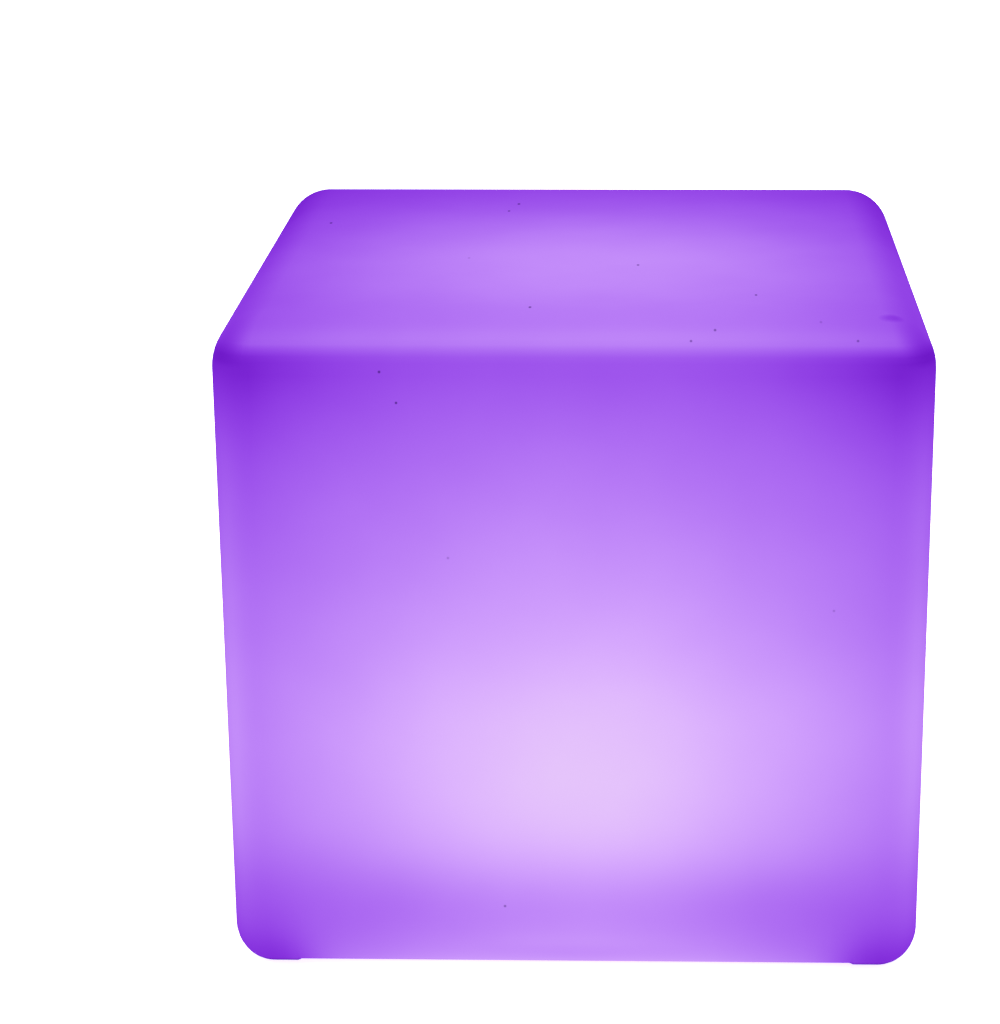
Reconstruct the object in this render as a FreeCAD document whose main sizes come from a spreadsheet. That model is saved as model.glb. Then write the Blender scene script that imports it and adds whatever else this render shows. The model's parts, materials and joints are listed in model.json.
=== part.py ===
import FreeCAD, Part
import math
import os
import re
import Sketcher

# A glowing cube seat for garden and porch. A hollow, translucent moulded shell stands on four
# low corner feet. A sealed light unit is screwed up into a round recess in its underside: a pan
# with two cells, a control board and an LED board under a clear dome. The pan's underside holds
# the push button, the charging socket with its rubber cap, and a charge light.
#
# Millimetres. +Z is up, the origin is the middle of the floor under the cube, and -Y is the front.

V = FreeCAD.Vector
UP = V(0, 0, 1)
doc = FreeCAD.newDocument("LedCube")
sizes = doc.addObject("Spreadsheet::Sheet", "Sizes")

DRIVING = {
    # moulded shell
    "cube_side": 400.0,
    "cube_height": 391.6,
    "shell_wall": 4.0,
    "top_edge_radius": 31.0,
    "upright_edge_radius": 23.0,
    "bottom_edge_radius": 23.0,
    "foot_height": 1.0,
    "foot_span": 38.0,
    "recess_depth": 17.0,
    "recess_margin": 4.0,
    "recess_rim_radius": 3.0,
    "opening_gap": 1.2,
    # moulded bosses, their brass inserts and the screws of the pan's flange
    "boss_wall": 3.5,
    "boss_roof": 3.0,
    "insert_wall": 1.0,
    "insert_length": 9.0,
    "insert_gap": 0.05,
    "flange_screw_count": 6,
    "flange_screw_radius": 1.95,
    "flange_screw_length": 11.5,
    "flange_head_radius": 3.8,
    "flange_head_height": 2.4,
    "screw_hole_gap": 0.3,
    # pan and flange gasket
    "pan_wall": 3.0,
    "pan_floor_thick": 2.5,
    "pan_drop": 2.5,
    "pan_margin": 0.5,
    "flange_thick": 3.0,
    "flange_edge": 3.0,
    "gasket_thick": 1.5,
    "gasket_inset": 0.5,
    # cells and their holder
    "cell_radius": 9.2,
    "cell_length": 65.0,
    "cell_nub_radius": 5.0,
    "cell_nub_height": 1.2,
    "cell_play": 0.2,
    "cell_headroom": 3.4,
    "holder_wall": 2.0,
    "holder_base": 1.5,
    "holder_web": 0.7,
    "holder_lip": 3.8,
    "holder_setback": 1.8,
    "lug_half_width": 4.0,
    "lug_reach": 8.3,
    "lug_thick": 2.0,
    "lug_spread": 20.0,
    "lug_post_height": 4.0,
    "strip_thick": 0.4,
    "strip_play": 0.3,
    "strip_half_height": 4.0,
    "strip_overlap": 5.0,
    "tab_half_width": 3.0,
    "tab_rise": 5.6,
    # boards, posts and small screws
    "board_thick": 1.6,
    "board_gap": 1.0,
    "header_height": 9.4,
    "header_half_length": 8.0,
    "header_half_width": 2.5,
    "header_setback": 7.0,
    "led_board_drop": 4.0,
    "post_radius": 3.2,
    "post_gap": 1.2,
    "pilot_gap": 0.05,
    "pilot_margin": 1.0,
    "small_screw_radius": 1.2,
    "small_screw_length": 8.0,
    "short_screw_length": 5.0,
    "small_head_radius": 2.6,
    "small_head_height": 1.9,
    "control_post_gap": 3.6,
    "control_post_spread": 10.0,
    "control_board_edge": 4.0,
    "control_board_half_width": 16.0,
    # LEDs and the remote receiver
    "colour_led_count": 12,
    "colour_led_circle": 34.0,
    "white_led_count": 6,
    "white_led_circle": 18.0,
    "led_side": 5.0,
    "led_height": 1.6,
    "receiver_side": 6.0,
    "receiver_height": 7.0,
    # dome and its seal
    "dome_seal_thick": 1.0,
    "dome_flange_thick": 2.5,
    "dome_radius": 46.0,
    "dome_land": 1.0,
    "dome_rise": 15.0,
    "dome_wall": 2.0,
    # push button, its sealing ring, switch and charge light
    "fitting_spread": 20.0,
    "fitting_setback": 28.0,
    "button_radius": 7.0,
    "button_gap": 0.1,
    "button_proud": 1.5,
    "button_dish": 0.5,
    "button_rim": 2.0,
    "button_chamfer": 0.5,
    "button_flange_width": 1.3,
    "button_flange_thick": 1.5,
    "button_stem_radius": 2.0,
    "button_stem_length": 2.3,
    "button_travel": 0.8,
    "button_ring_radius": 0.5,
    "button_ring_gap": 0.05,
    "collar_gap": 0.2,
    "collar_wall": 1.5,
    "collar_height": 3.5,
    "plunger_radius": 1.75,
    "plunger_gap": 0.1,
    "plunger_reach": 1.2,
    "tact_side": 6.0,
    "tact_height": 3.5,
    "tact_floor": 1.4,
    "switch_post_radius": 2.6,
    "switch_post_gap": 0.4,
    "switch_board_edge": 3.0,
    "switch_board_near": 16.0,
    "switch_board_far": 6.0,
    "pipe_radius": 1.5,
    "pipe_gap": 0.05,
    "pipe_head": 0.8,
    "pipe_head_thick": 1.0,
    "pipe_setback": 15.0,
    "pipe_air": 0.3,
    "charge_led_side": 3.0,
    "charge_led_height": 1.4,
    # charging socket and its rubber cap
    "socket_radius": 5.4,
    "socket_hole_gap": 0.1,
    "socket_bezel_radius": 7.2,
    "socket_bezel_thick": 1.5,
    "socket_bore_radius": 3.1,
    "socket_bore_depth": 11.7,
    "socket_end": 4.0,
    "socket_pin_radius": 1.05,
    "socket_pin_length": 8.5,
    "terminal_spread": 1.5,
    "terminal_half_width": 0.9,
    "terminal_half_thick": 0.3,
    "terminal_length": 2.0,
    "nut_across_flats": 13.0,
    "nut_thick": 2.5,
    "nut_gap": 0.05,
    "cap_ring_thick": 1.2,
    "cap_ring_width": 2.4,
    "cap_thick": 1.7,
    "cap_nib_gap": 0.2,
    "cap_nib_length": 1.6,
    "cap_strap_half_width": 3.2,
    "cap_strap_reach": 2.6,
    "cap_tongue_thick": 0.8,
    "cap_tongue_half_width": 0.9,
    "knuckle_radius": 0.95,
    "knuckle_gap": 0.2,
    # parts on the control board, and the wires
    "chip_offset": 10.0,
    "chip_side": 10.0,
    "chip_height": 1.6,
    "driver_length": 5.0,
    "driver_width": 4.0,
    "driver_pitch": 6.5,
    "chip_setback": 4.0,
    "choke_radius": 5.0,
    "choke_waist": 3.6,
    "choke_height": 4.5,
    "choke_rim": 0.9,
    "choke_setback": 28.0,
    "capacitor_radius": 3.2,
    "capacitor_height": 8.0,
    "capacitor_setback": 17.0,
    "plug_half_width": 4.0,
    "plug_depth": 5.0,
    "plug_height": 5.6,
    "wire_radius": 0.5,
    "wire_height": 2.8,
    "switch_wire_count": 3,
    "switch_wire_pitch": 2.0,
    "switch_wire_setback": 24.5,
}


def fill_sheet():
    """Writes one row per driving size: its name, its value, and the name again as its alias."""
    for row, (name, size) in enumerate(DRIVING.items(), start=1):
        sizes.set(f"A{row}", name)
        sizes.set(f"B{row}", str(size))
        sizes.setAlias(f"B{row}", name)
    doc.recompute()


def bound(text):
    """An expression over size names, written so that any object of the document can use it."""
    return re.sub(r"[a-z_]+", lambda m: f"Sizes.{m[0]}" if m[0] in DRIVING else m[0], text)


def value(text):
    """The present value of an expression over size names."""
    return float(sizes.evalExpression(bound(text)))


fill_sheet()

# ---------------------------------------------------------------- levels and places worked out once

SCREW_HOLE = "(small_screw_radius + screw_hole_gap)"
PILOT_HOLE = "(small_screw_radius + pilot_gap)"
FLANGE_HOLE = "(flange_screw_radius + screw_hole_gap)"

# levels, from the floor upwards
RECESS_ROOF = "(foot_height + recess_depth)"
FLANGE_TOP = f"({RECESS_ROOF} - gasket_thick)"
FLANGE_LOW = f"({FLANGE_TOP} - flange_thick)"
PAN_UNDER = f"({FLANGE_LOW} - pan_drop)"
PAN_FLOOR = f"({PAN_UNDER} + pan_floor_thick)"
CELL_AXIS = f"({PAN_FLOOR} + holder_base + cell_play + cell_radius)"
CONTROL_SEAT = f"({CELL_AXIS} + cell_radius + cell_headroom)"
CONTROL_TOP = f"({CONTROL_SEAT} + board_thick)"
LED_SEAT = f"({CONTROL_TOP} + header_height)"
LED_TOP = f"({LED_SEAT} + board_thick)"
PAN_RIM = f"({LED_SEAT} + led_board_drop)"
DOME_SEAT = f"({PAN_RIM} + dome_seal_thick)"
DOME_SHOULDER = f"({DOME_SEAT} + dome_flange_thick)"
TACT_LOW = f"({PAN_FLOOR} + button_flange_thick + button_stem_length + plunger_reach)"
SWITCH_SEAT = f"({TACT_LOW} + tact_height)"
SWITCH_TOP = f"({SWITCH_SEAT} + board_thick)"
WIRE_LEVEL = f"({CONTROL_TOP} + wire_height)"

# the cell holder: two bores side by side behind the middle of the pan
CELL_BORE = "(cell_radius + cell_play)"
FRONT_CELL = f"(holder_setback + holder_wall + {CELL_BORE})"
REAR_CELL = f"({FRONT_CELL} + 2 * {CELL_BORE} + holder_web)"
HOLDER_BACK = f"({REAR_CELL} + {CELL_BORE} + holder_wall)"
HOLDER_MIDDLE = f"(({FRONT_CELL} + {REAR_CELL}) / 2)"
STRIP_INNER = "(cell_length / 2)"
STRIP_OUTER = f"({STRIP_INNER} + strip_thick)"
HOLDER_BORE_END = f"({STRIP_OUTER} + strip_play)"
HOLDER_END = f"({HOLDER_BORE_END} + holder_wall)"
HOLDER_TOP = f"({CELL_AXIS} + holder_lip)"
LUG_SEAT = f"({PAN_FLOOR} + lug_post_height)"
LUG_HOLE_Y = "(holder_setback - lug_reach + lug_half_width)"

# radii, from the pan outwards: it goes round the cell holder's corners, and its posts stand
# outside the dome's crown
CELL_ROOM = f"(hypot({HOLDER_END}; {HOLDER_BACK}) + pan_margin)"
DOME_ROOM = "(dome_radius + dome_land + small_head_radius + post_radius + post_gap)"
PAN_INNER = f"max({CELL_ROOM}; {DOME_ROOM})"
PAN_RADIUS = f"({PAN_INNER} + pan_wall)"
OPENING = f"({PAN_RADIUS} + opening_gap)"
INSERT_BORE = "(flange_screw_radius + insert_gap)"
INSERT_RADIUS = f"({INSERT_BORE} + insert_wall)"
BOSS_RADIUS = f"({INSERT_RADIUS} + boss_wall)"
BOLT_CIRCLE = f"({OPENING} + {BOSS_RADIUS} + screw_hole_gap)"
FLANGE_RADIUS = f"({BOLT_CIRCLE} + flange_head_radius + flange_edge)"
RECESS_RADIUS = f"({FLANGE_RADIUS} + recess_margin)"
POST_CIRCLE = f"({PAN_INNER} - post_radius - post_gap)"
CONTROL_POST_X = f"({HOLDER_END} + control_post_gap + post_radius)"
CONTROL_BOARD_END = f"({CONTROL_POST_X} + control_board_edge)"

# the push button, at -X, and the charging socket, at +X, in front of the middle
BUTTON_X = "(-fitting_spread)"
SOCKET_X = "fitting_spread"
FITTING_Y = "(-fitting_setback)"
BUTTON_LOW = f"({PAN_UNDER} - button_proud)"
RING_LEVEL = f"({PAN_UNDER} + pan_floor_thick / 2)"
RING_CENTRE = "(button_radius + button_gap - button_ring_gap - button_ring_radius)"
BUTTON_FLANGE = "(button_radius + button_flange_width)"
COLLAR_INNER = f"({BUTTON_FLANGE} + collar_gap)"
COLLAR_OUTER = f"({COLLAR_INNER} + collar_wall)"
SWITCH_POST = f"({COLLAR_OUTER} + switch_post_gap + switch_post_radius)"
SWITCH_BOARD_HALF = f"({SWITCH_POST} + switch_board_edge)"
CAP_RING_LOW = f"({PAN_UNDER} - cap_ring_thick)"
BEZEL_LOW = f"({CAP_RING_LOW} - socket_bezel_thick)"
BORE_TOP = f"({BEZEL_LOW} + socket_bore_depth)"
SOCKET_TOP = f"({BORE_TOP} + socket_end)"
CAP_LOW = f"({BEZEL_LOW} - cap_thick)"
CAP_RING_OUTER = "(socket_radius + cap_ring_width)"
HINGE_X = f"({SOCKET_X} + {CAP_RING_OUTER} + cap_strap_reach)"
HINGE_LEVEL = f"(({CAP_RING_LOW} + {BEZEL_LOW}) / 2)"

# angles of the posts round the pan: LED board posts, and dome posts between them
POST_COUNT = 3
LED_POST_ANGLE = 90
DOME_POST_ANGLE = 30
FULL_TURN = 360

NUT_SIDES = 6
DRIVER_COUNT = 3  # one driver chip for each colour

# shares of a screw head's radius: its flat crown, and the reach and half width of its cross
HEAD_CROWN = 0.8
CROSS_REACH = 0.55
CROSS_HALF_WIDTH = 0.14

CENTRE = 3  # the centre point of a sketched circle
ORIGIN = -1  # the sketch's own origin
PAST = 1.0  # how far a cutting tool runs past the face that it cuts through
RUN_SHARE = 0.45  # how much of a wire's shorter run its bend takes up
TINY = 1e-4  # lengths closer than this are the same

# ---------------------------------------------------------------- how pieces are drawn


def new_body(name):
    """A PartDesign body, labelled with its name."""
    body = doc.addObject("PartDesign::Body", name)
    body.Label = name
    return body


def new_sketch(body, name, plane="XY_Plane", lift="0"):
    """A sketch on one of the body's own origin planes, lifted off it along the plane's normal."""
    sketch = body.newObject("Sketcher::SketchObject", name)
    support = next(part for part in body.Origin.OriginFeatures if part.Role == plane)
    sketch.AttachmentSupport = [(support, "")]
    sketch.MapMode = "FlatFace"
    if lift != "0":
        sketch.setExpression("AttachmentOffset.Base.z", bound(lift))
    return sketch


def tie_coordinate(sketch, kind, geometry, point, text):
    """Ties one coordinate of a point to an expression; DistanceX or DistanceY, always positive."""
    size = value(text)
    if abs(size) < TINY:
        axis = -2 if kind == "DistanceX" else -1
        sketch.addConstraint(Sketcher.Constraint("PointOnObject", geometry, point, axis))
        return
    ends = (ORIGIN, 1, geometry, point) if size > 0 else (geometry, point, ORIGIN, 1)
    index = sketch.addConstraint(Sketcher.Constraint(kind, *ends, abs(size)))
    sketch.setExpression(f"Constraints[{index}]", bound(text if size > 0 else f"-({text})"))


def add_circle(sketch, radius, x="0", y="0"):
    """A circle whose radius and centre follow the sizes."""
    geometry = sketch.addGeometry(Part.Circle(V(value(x), value(y), 0), UP, value(radius)))
    index = sketch.addConstraint(Sketcher.Constraint("Radius", geometry, value(radius)))
    sketch.setExpression(f"Constraints[{index}]", bound(radius))
    tie_coordinate(sketch, "DistanceX", geometry, CENTRE, x)
    tie_coordinate(sketch, "DistanceY", geometry, CENTRE, y)


def add_polygon(sketch, corners):
    """A closed outline whose corners, given as pairs of expressions, follow the sizes."""
    points = [V(value(x), value(y), 0) for x, y in corners]
    lines = [Part.LineSegment(a, b) for a, b in zip(points, points[1:] + points[:1])]
    first = sketch.addGeometry(lines)[0]
    for step, (x, y) in enumerate(corners):
        after = first + (step - 1) % len(corners)
        sketch.addConstraint(Sketcher.Constraint("Coincident", after, 2, first + step, 1))
        tie_coordinate(sketch, "DistanceX", first + step, 1, x)
        tie_coordinate(sketch, "DistanceY", first + step, 1, y)


def add_rectangle(sketch, x_low, x_high, y_low, y_high):
    """A rectangle between two pairs of expressions."""
    add_polygon(sketch, [(x_low, y_low), (x_high, y_low), (x_high, y_high), (x_low, y_high)])


def pad(body, sketch, length):
    """Raises material from a sketch, along its normal."""
    feature = body.newObject("PartDesign::Pad", f"{sketch.Name}Pad")
    feature.Profile = sketch
    feature.setExpression("Length", bound(length))
    return feature


def pocket(body, sketch, depth):
    """Cuts material under a sketch, against its normal, and checks that some was cut."""
    before = body.Tip
    doc.recompute()
    volume = before.Shape.Volume
    feature = body.newObject("PartDesign::Pocket", f"{sketch.Name}Pocket")
    feature.Profile = sketch
    feature.setExpression("Length", bound(depth))
    doc.recompute()
    if feature.Shape.Volume >= volume:
        raise ValueError(f"{feature.Name} cuts nothing")
    return feature


def repeat_round(body, feature, count):
    """Repeats a feature evenly round the Z axis. The count is a number or a size's name."""
    pattern = body.newObject("PartDesign::PolarPattern", f"{feature.Name}Round")
    pattern.Originals = [feature]
    z_axis = next(part for part in body.Origin.OriginFeatures if part.Role == "Z_Axis")
    pattern.Axis = (z_axis, [""])
    pattern.Angle = FULL_TURN
    if isinstance(count, str):
        pattern.setExpression("Occurrences", bound(count))
    else:
        pattern.Occurrences = count
    body.Tip = pattern
    return pattern


def turned(name, corners):
    """A body turned about its own Z axis from an outline of (radius, height) expressions."""
    body = new_body(name)
    sketch = new_sketch(body, f"{name}Outline", "XZ_Plane")
    add_polygon(sketch, corners)
    feature = body.newObject("PartDesign::Revolution", f"{name}Turn")
    feature.Profile = sketch
    feature.ReferenceAxis = (sketch, ["V_Axis"])
    feature.Angle = FULL_TURN
    return body


def ring(name, inner, outer, low, high):
    """A turned ring of square section."""
    return turned(name, [(inner, low), (outer, low), (outer, high), (inner, high)])


def shift(thing, x="0", y="0", z="0"):
    """Places an object by expressions."""
    for axis, text in zip("xyz", (x, y, z)):
        if text != "0":
            thing.setExpression(f"Placement.Base.{axis}", bound(text))


def on_circle(circle, degrees):
    """Expressions for a point on a circle round the Z axis."""
    return f"{circle} * cos({degrees} deg)", f"{circle} * sin({degrees} deg)"


def add_box(name, x_low, x_high, y_low, y_high, z_low, z_high):
    """A Part box between pairs of expressions."""
    box = doc.addObject("Part::Box", name)
    box.setExpression("Length", bound(f"{x_high} - ({x_low})"))
    box.setExpression("Width", bound(f"{y_high} - ({y_low})"))
    box.setExpression("Height", bound(f"{z_high} - ({z_low})"))
    shift(box, x_low, y_low, z_low)
    return box


def add_cylinder(name, radius, low, high, x="0", y="0"):
    """An upright Part cylinder between two levels."""
    cylinder = doc.addObject("Part::Cylinder", name)
    cylinder.setExpression("Radius", bound(radius))
    cylinder.setExpression("Height", bound(f"{high} - ({low})"))
    shift(cylinder, x, y, low)
    return cylinder


def add_sphere(name, radius, z):
    """A Part ball on the Z axis."""
    ball = doc.addObject("Part::Sphere", name)
    ball.setExpression("Radius", bound(radius))
    shift(ball, z=z)
    return ball


def fuse(name, shapes):
    """Joins Part objects into one."""
    joined = doc.addObject("Part::MultiFuse", name)
    joined.Shapes = shapes
    return joined


def cut(name, base, tool):
    """Takes one Part object out of another."""
    rest = doc.addObject("Part::Cut", name)
    rest.Base = base
    rest.Tool = tool
    return rest


def common(name, base, tool):
    """Keeps what two Part objects share."""
    shared = doc.addObject("Part::Common", name)
    shared.Base = base
    shared.Tool = tool
    return shared


def group(name, shapes):
    """One node of several separate solids."""
    feature = doc.addObject("Part::Feature", name)
    feature.Shape = Part.makeCompound(shapes)
    feature.Label = name
    return feature


def copies(thing, places, turn=FreeCAD.Rotation()):
    """Copies of an object's shape, turned and set at the given points."""
    doc.recompute()
    shapes = []
    for place in places:
        shape = thing.Shape.copy()
        shape.Placement = FreeCAD.Placement(place, turn)
        shapes.append(shape)
    return shapes


def point(x, y, z):
    """A point from three expressions."""
    return V(value(x), value(y), value(z))


def points_round(circle, count, first_angle, level):
    """Points evenly round the Z axis."""
    radius = value(circle)
    angles = [math.radians(first_angle + FULL_TURN / count * step) for step in range(count)]
    return [V(radius * math.cos(a), radius * math.sin(a), value(level)) for a in angles]


# ---------------------------------------------------------------- shell


def rounded_box(name, half_side, low, high, inset):
    """A box with rounded edges; an inset makes the hollow that lies a wall inside the outer form."""
    box = add_box(f"{name}Box", f"-{half_side}", half_side, f"-{half_side}", half_side, low, high)
    doc.recompute()
    rounded = doc.addObject("Part::Fillet", name)
    rounded.Base = box
    radii = {
        "top": value(f"top_edge_radius - {inset}"),
        "upright": value(f"upright_edge_radius - {inset}"),
        "bottom": value(f"bottom_edge_radius - {inset}"),
    }
    middle = value(f"({low} + {high}) / 2")
    edges = []
    for number, edge in enumerate(box.Shape.Edges, start=1):
        start, end = edge.Vertexes[0].Point, edge.Vertexes[-1].Point
        if abs(start.z - end.z) > TINY:
            radius = radii["upright"]
        elif start.z > middle:
            radius = radii["top"]
        else:
            radius = radii["bottom"]
        edges.append((number, radius, radius))
    rounded.Edges = edges
    print(f"{name}: half side {value(half_side):.1f} mm, edges {radii}")
    return rounded


def make_shell():
    """The moulded shell: rounded cube, hollow, with corner feet, recess, opening and bosses."""
    half = "(cube_side / 2)"
    body_form = rounded_box("ShellForm", half, "foot_height", "cube_height", "0")
    foot_form = rounded_box("FootForm", half, "0", "cube_height", "0")
    foot_top = "(foot_height + bottom_edge_radius)"
    near = f"({half} - foot_span)"
    zones = []
    for x_side in (-1, 1):
        for y_side in (-1, 1):
            x_pair = (near, half) if x_side > 0 else (f"-{half}", f"-{near}")
            y_pair = (near, half) if y_side > 0 else (f"-{half}", f"-{near}")
            zones.append(add_box(f"FootZone{len(zones)}", *x_pair, *y_pair, "0", foot_top))
    feet = common("Feet", foot_form, fuse("FootZones", zones))
    outside = fuse("ShellOutside", [body_form, feet])

    inner_low = "(foot_height + shell_wall)"
    inner_high = "(cube_height - shell_wall)"
    hollow = rounded_box("Hollow", f"({half} - shell_wall)", inner_low, inner_high, "shell_wall")
    pedestal_top = f"({RECESS_ROOF} + shell_wall)"
    boss_top = f"({RECESS_ROOF} + insert_length + boss_roof)"
    standing = [add_cylinder("Pedestal", f"{RECESS_RADIUS} + shell_wall", "0", pedestal_top)]
    holes = [
        add_cylinder("Recess", RECESS_RADIUS, f"-{PAST}", RECESS_ROOF),
        add_cylinder("Opening", OPENING, "0", f"{pedestal_top} + {PAST}"),
    ]
    insert_hole = f"({INSERT_RADIUS} + insert_gap)"
    count = int(value("flange_screw_count"))
    for step in range(count):
        x, y = on_circle(BOLT_CIRCLE, FULL_TURN / count * step)
        standing.append(add_cylinder(f"Boss{step}", BOSS_RADIUS, "0", boss_top, x, y))
        top = f"{RECESS_ROOF} + insert_length + insert_gap"
        holes.append(add_cylinder(f"InsertHole{step}", insert_hole, "0", top, x, y))
    chamber = cut("Chamber", hollow, fuse("Standing", standing))
    walls = cut("ShellWalls", outside, chamber)
    bored = cut("ShellBored", walls, fuse("ShellHoles", holes))
    doc.recompute()
    shell = doc.addObject("Part::Fillet", "Shell")
    shell.Base = bored
    shell.Label = "shell"
    rim = []
    for number, edge in enumerate(bored.Shape.Edges, start=1):
        if edge.Degenerated or not isinstance(edge.Curve, Part.Circle):
            continue
        at_rim = abs(edge.Curve.Radius - value(RECESS_RADIUS)) < TINY
        if at_rim and abs(edge.Curve.Center.z - value("foot_height")) < TINY:
            rim.append((number, value("recess_rim_radius"), value("recess_rim_radius")))
    if not rim:
        raise ValueError("the recess has no rim to round")
    shell.Edges = rim
    return shell


def make_inserts():
    """Brass threaded inserts moulded into the shell's bosses."""
    one = ring("InsertPattern", INSERT_BORE, INSERT_RADIUS, "0", "insert_length")
    count = int(value("flange_screw_count"))
    places = points_round(BOLT_CIRCLE, count, 0, RECESS_ROOF)
    return group("threaded_inserts", copies(one, places))


# ---------------------------------------------------------------- screws


def screw_pattern(name, radius, length, head_radius, head_height):
    """One pan-head screw, tip down at its origin, with a cross recess in its head."""
    top = f"({length} + {head_height})"
    body = turned(name, [("0", "0"), (radius, "0"), (radius, length), (head_radius, length),
                         (head_radius, f"({top} - {head_height} / 3)"),
                         (f"({head_radius} * {HEAD_CROWN})", top), ("0", top)])
    arm = f"({head_radius} * {CROSS_REACH})"
    half = f"({head_radius} * {CROSS_HALF_WIDTH})"
    cross = new_sketch(body, f"{name}Cross", lift=top)
    add_polygon(cross, [(arm, f"-{half}"), (arm, half), (half, half), (half, arm),
                        (f"-{half}", arm), (f"-{half}", half), (f"-{arm}", half),
                        (f"-{arm}", f"-{half}"), (f"-{half}", f"-{half}"), (f"-{half}", f"-{arm}"),
                        (half, f"-{arm}"), (half, f"-{half}")])
    pocket(body, cross, f"{head_height} / 2")
    return body


def make_screws():
    """Every group of screws, each group one node."""
    upside_down = FreeCAD.Rotation(V(1, 0, 0), 180)
    flange = screw_pattern("FlangeScrew", "flange_screw_radius", "flange_screw_length",
                           "flange_head_radius", "flange_head_height")
    small = screw_pattern("SmallScrew", "small_screw_radius", "small_screw_length",
                          "small_head_radius", "small_head_height")
    short = screw_pattern("ShortScrew", "small_screw_radius", "short_screw_length",
                          "small_head_radius", "small_head_height")
    count = int(value("flange_screw_count"))
    tip = f"{FLANGE_LOW} + flange_screw_length"
    places = points_round(BOLT_CIRCLE, count, 0, tip)
    group("flange_screws", copies(flange, places, upside_down))
    for name, level, angle in (("led_board_screws", LED_TOP, LED_POST_ANGLE),
                               ("dome_screws", DOME_SHOULDER, DOME_POST_ANGLE)):
        places = points_round(POST_CIRCLE, POST_COUNT, angle, f"{level} - small_screw_length")
        group(name, copies(small, places))
    level = f"{CONTROL_TOP} - small_screw_length"
    places = [point(x, y, level) for x, y in control_posts()]
    group("control_board_screws", copies(small, places))
    level = f"{SWITCH_TOP} - small_screw_length"
    places = [point(x, y, level) for x, y in switch_posts()]
    group("switch_board_screws", copies(small, places))
    level = f"{LUG_SEAT} + lug_thick - short_screw_length"
    places = [point(x, y, level) for x, y in lug_posts()]
    group("holder_screws", copies(short, places))


def control_posts():
    """The places of the control board's four posts."""
    return [(x, y) for x in (f"-{CONTROL_POST_X}", CONTROL_POST_X)
            for y in ("-control_post_spread", "control_post_spread")]


def switch_posts():
    """The places of the switch board's two posts, either side of the button."""
    return [(f"{BUTTON_X} - {SWITCH_POST}", FITTING_Y), (f"{BUTTON_X} + {SWITCH_POST}", FITTING_Y)]


def lug_posts():
    """The places of the two posts that the cell holder's lugs stand on."""
    return [("-lug_spread", LUG_HOLE_Y), ("lug_spread", LUG_HOLE_Y)]


# ---------------------------------------------------------------- pan, gasket and dome


def add_posts(body, name, places, radius, top, screw_length, clamped):
    """Posts on the pan's floor with blind pilot holes for a screw that clamps a thickness."""
    sketch = new_sketch(body, f"{name}Posts", lift=PAN_FLOOR)
    for x, y in places:
        add_circle(sketch, radius, x, y)
    pad(body, sketch, f"{top} - {PAN_FLOOR}")
    holes = new_sketch(body, f"{name}Pilots", lift=top)
    for x, y in places:
        add_circle(holes, PILOT_HOLE, x, y)
    pocket(body, holes, f"{screw_length} - {clamped} + pilot_margin")


def make_pan():
    """The pan: cup and flange turned in one, then its posts, collar and holes."""
    body = turned("base_pan", [
        ("0", PAN_UNDER), (PAN_RADIUS, PAN_UNDER), (PAN_RADIUS, FLANGE_LOW),
        (FLANGE_RADIUS, FLANGE_LOW), (FLANGE_RADIUS, FLANGE_TOP), (PAN_RADIUS, FLANGE_TOP),
        (PAN_RADIUS, PAN_RIM), (PAN_INNER, PAN_RIM), (PAN_INNER, PAN_FLOOR), ("0", PAN_FLOOR)])
    for name, angle, top, clamped in (("Led", LED_POST_ANGLE, LED_SEAT, "board_thick"),
                                      ("Dome", DOME_POST_ANGLE, DOME_SEAT, "dome_flange_thick")):
        places = [on_circle(POST_CIRCLE, angle + FULL_TURN / POST_COUNT * step)
                  for step in range(POST_COUNT)]
        add_posts(body, name, places, "post_radius", top, "small_screw_length", clamped)
    add_posts(body, "Control", control_posts(), "post_radius", CONTROL_SEAT,
              "small_screw_length", "board_thick")
    add_posts(body, "Switch", switch_posts(), "switch_post_radius", SWITCH_SEAT,
              "small_screw_length", "board_thick")
    add_posts(body, "Lug", lug_posts(), "post_radius", LUG_SEAT,
              "short_screw_length", "lug_thick")
    collar = new_sketch(body, "ButtonCollar", lift=PAN_FLOOR)
    add_circle(collar, COLLAR_OUTER, BUTTON_X, FITTING_Y)
    add_circle(collar, COLLAR_INNER, BUTTON_X, FITTING_Y)
    pad(body, collar, "collar_height")
    fittings = new_sketch(body, "FittingHoles", lift=PAN_FLOOR)
    add_circle(fittings, "button_radius + button_gap", BUTTON_X, FITTING_Y)
    add_circle(fittings, "socket_radius + socket_hole_gap", SOCKET_X, FITTING_Y)
    add_circle(fittings, "pipe_radius + pipe_gap", BUTTON_X, "-pipe_setback")
    pocket(body, fittings, "pan_floor_thick")
    bolts = new_sketch(body, "FlangeHole", lift=FLANGE_TOP)
    add_circle(bolts, FLANGE_HOLE, BOLT_CIRCLE)
    hole = pocket(body, bolts, "flange_thick")
    repeat_round(body, hole, "flange_screw_count")
    return body


def make_gasket():
    """The flat ring that seals the pan's flange to the roof of the recess."""
    inner = f"{OPENING} + gasket_inset"
    outer = f"{FLANGE_RADIUS} - gasket_inset"
    body = ring("flange_gasket", inner, outer, FLANGE_TOP, RECESS_ROOF)
    bolts = new_sketch(body, "GasketHole", lift=RECESS_ROOF)
    add_circle(bolts, FLANGE_HOLE, BOLT_CIRCLE)
    hole = pocket(body, bolts, "gasket_thick")
    repeat_round(body, hole, "flange_screw_count")
    return body


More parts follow.
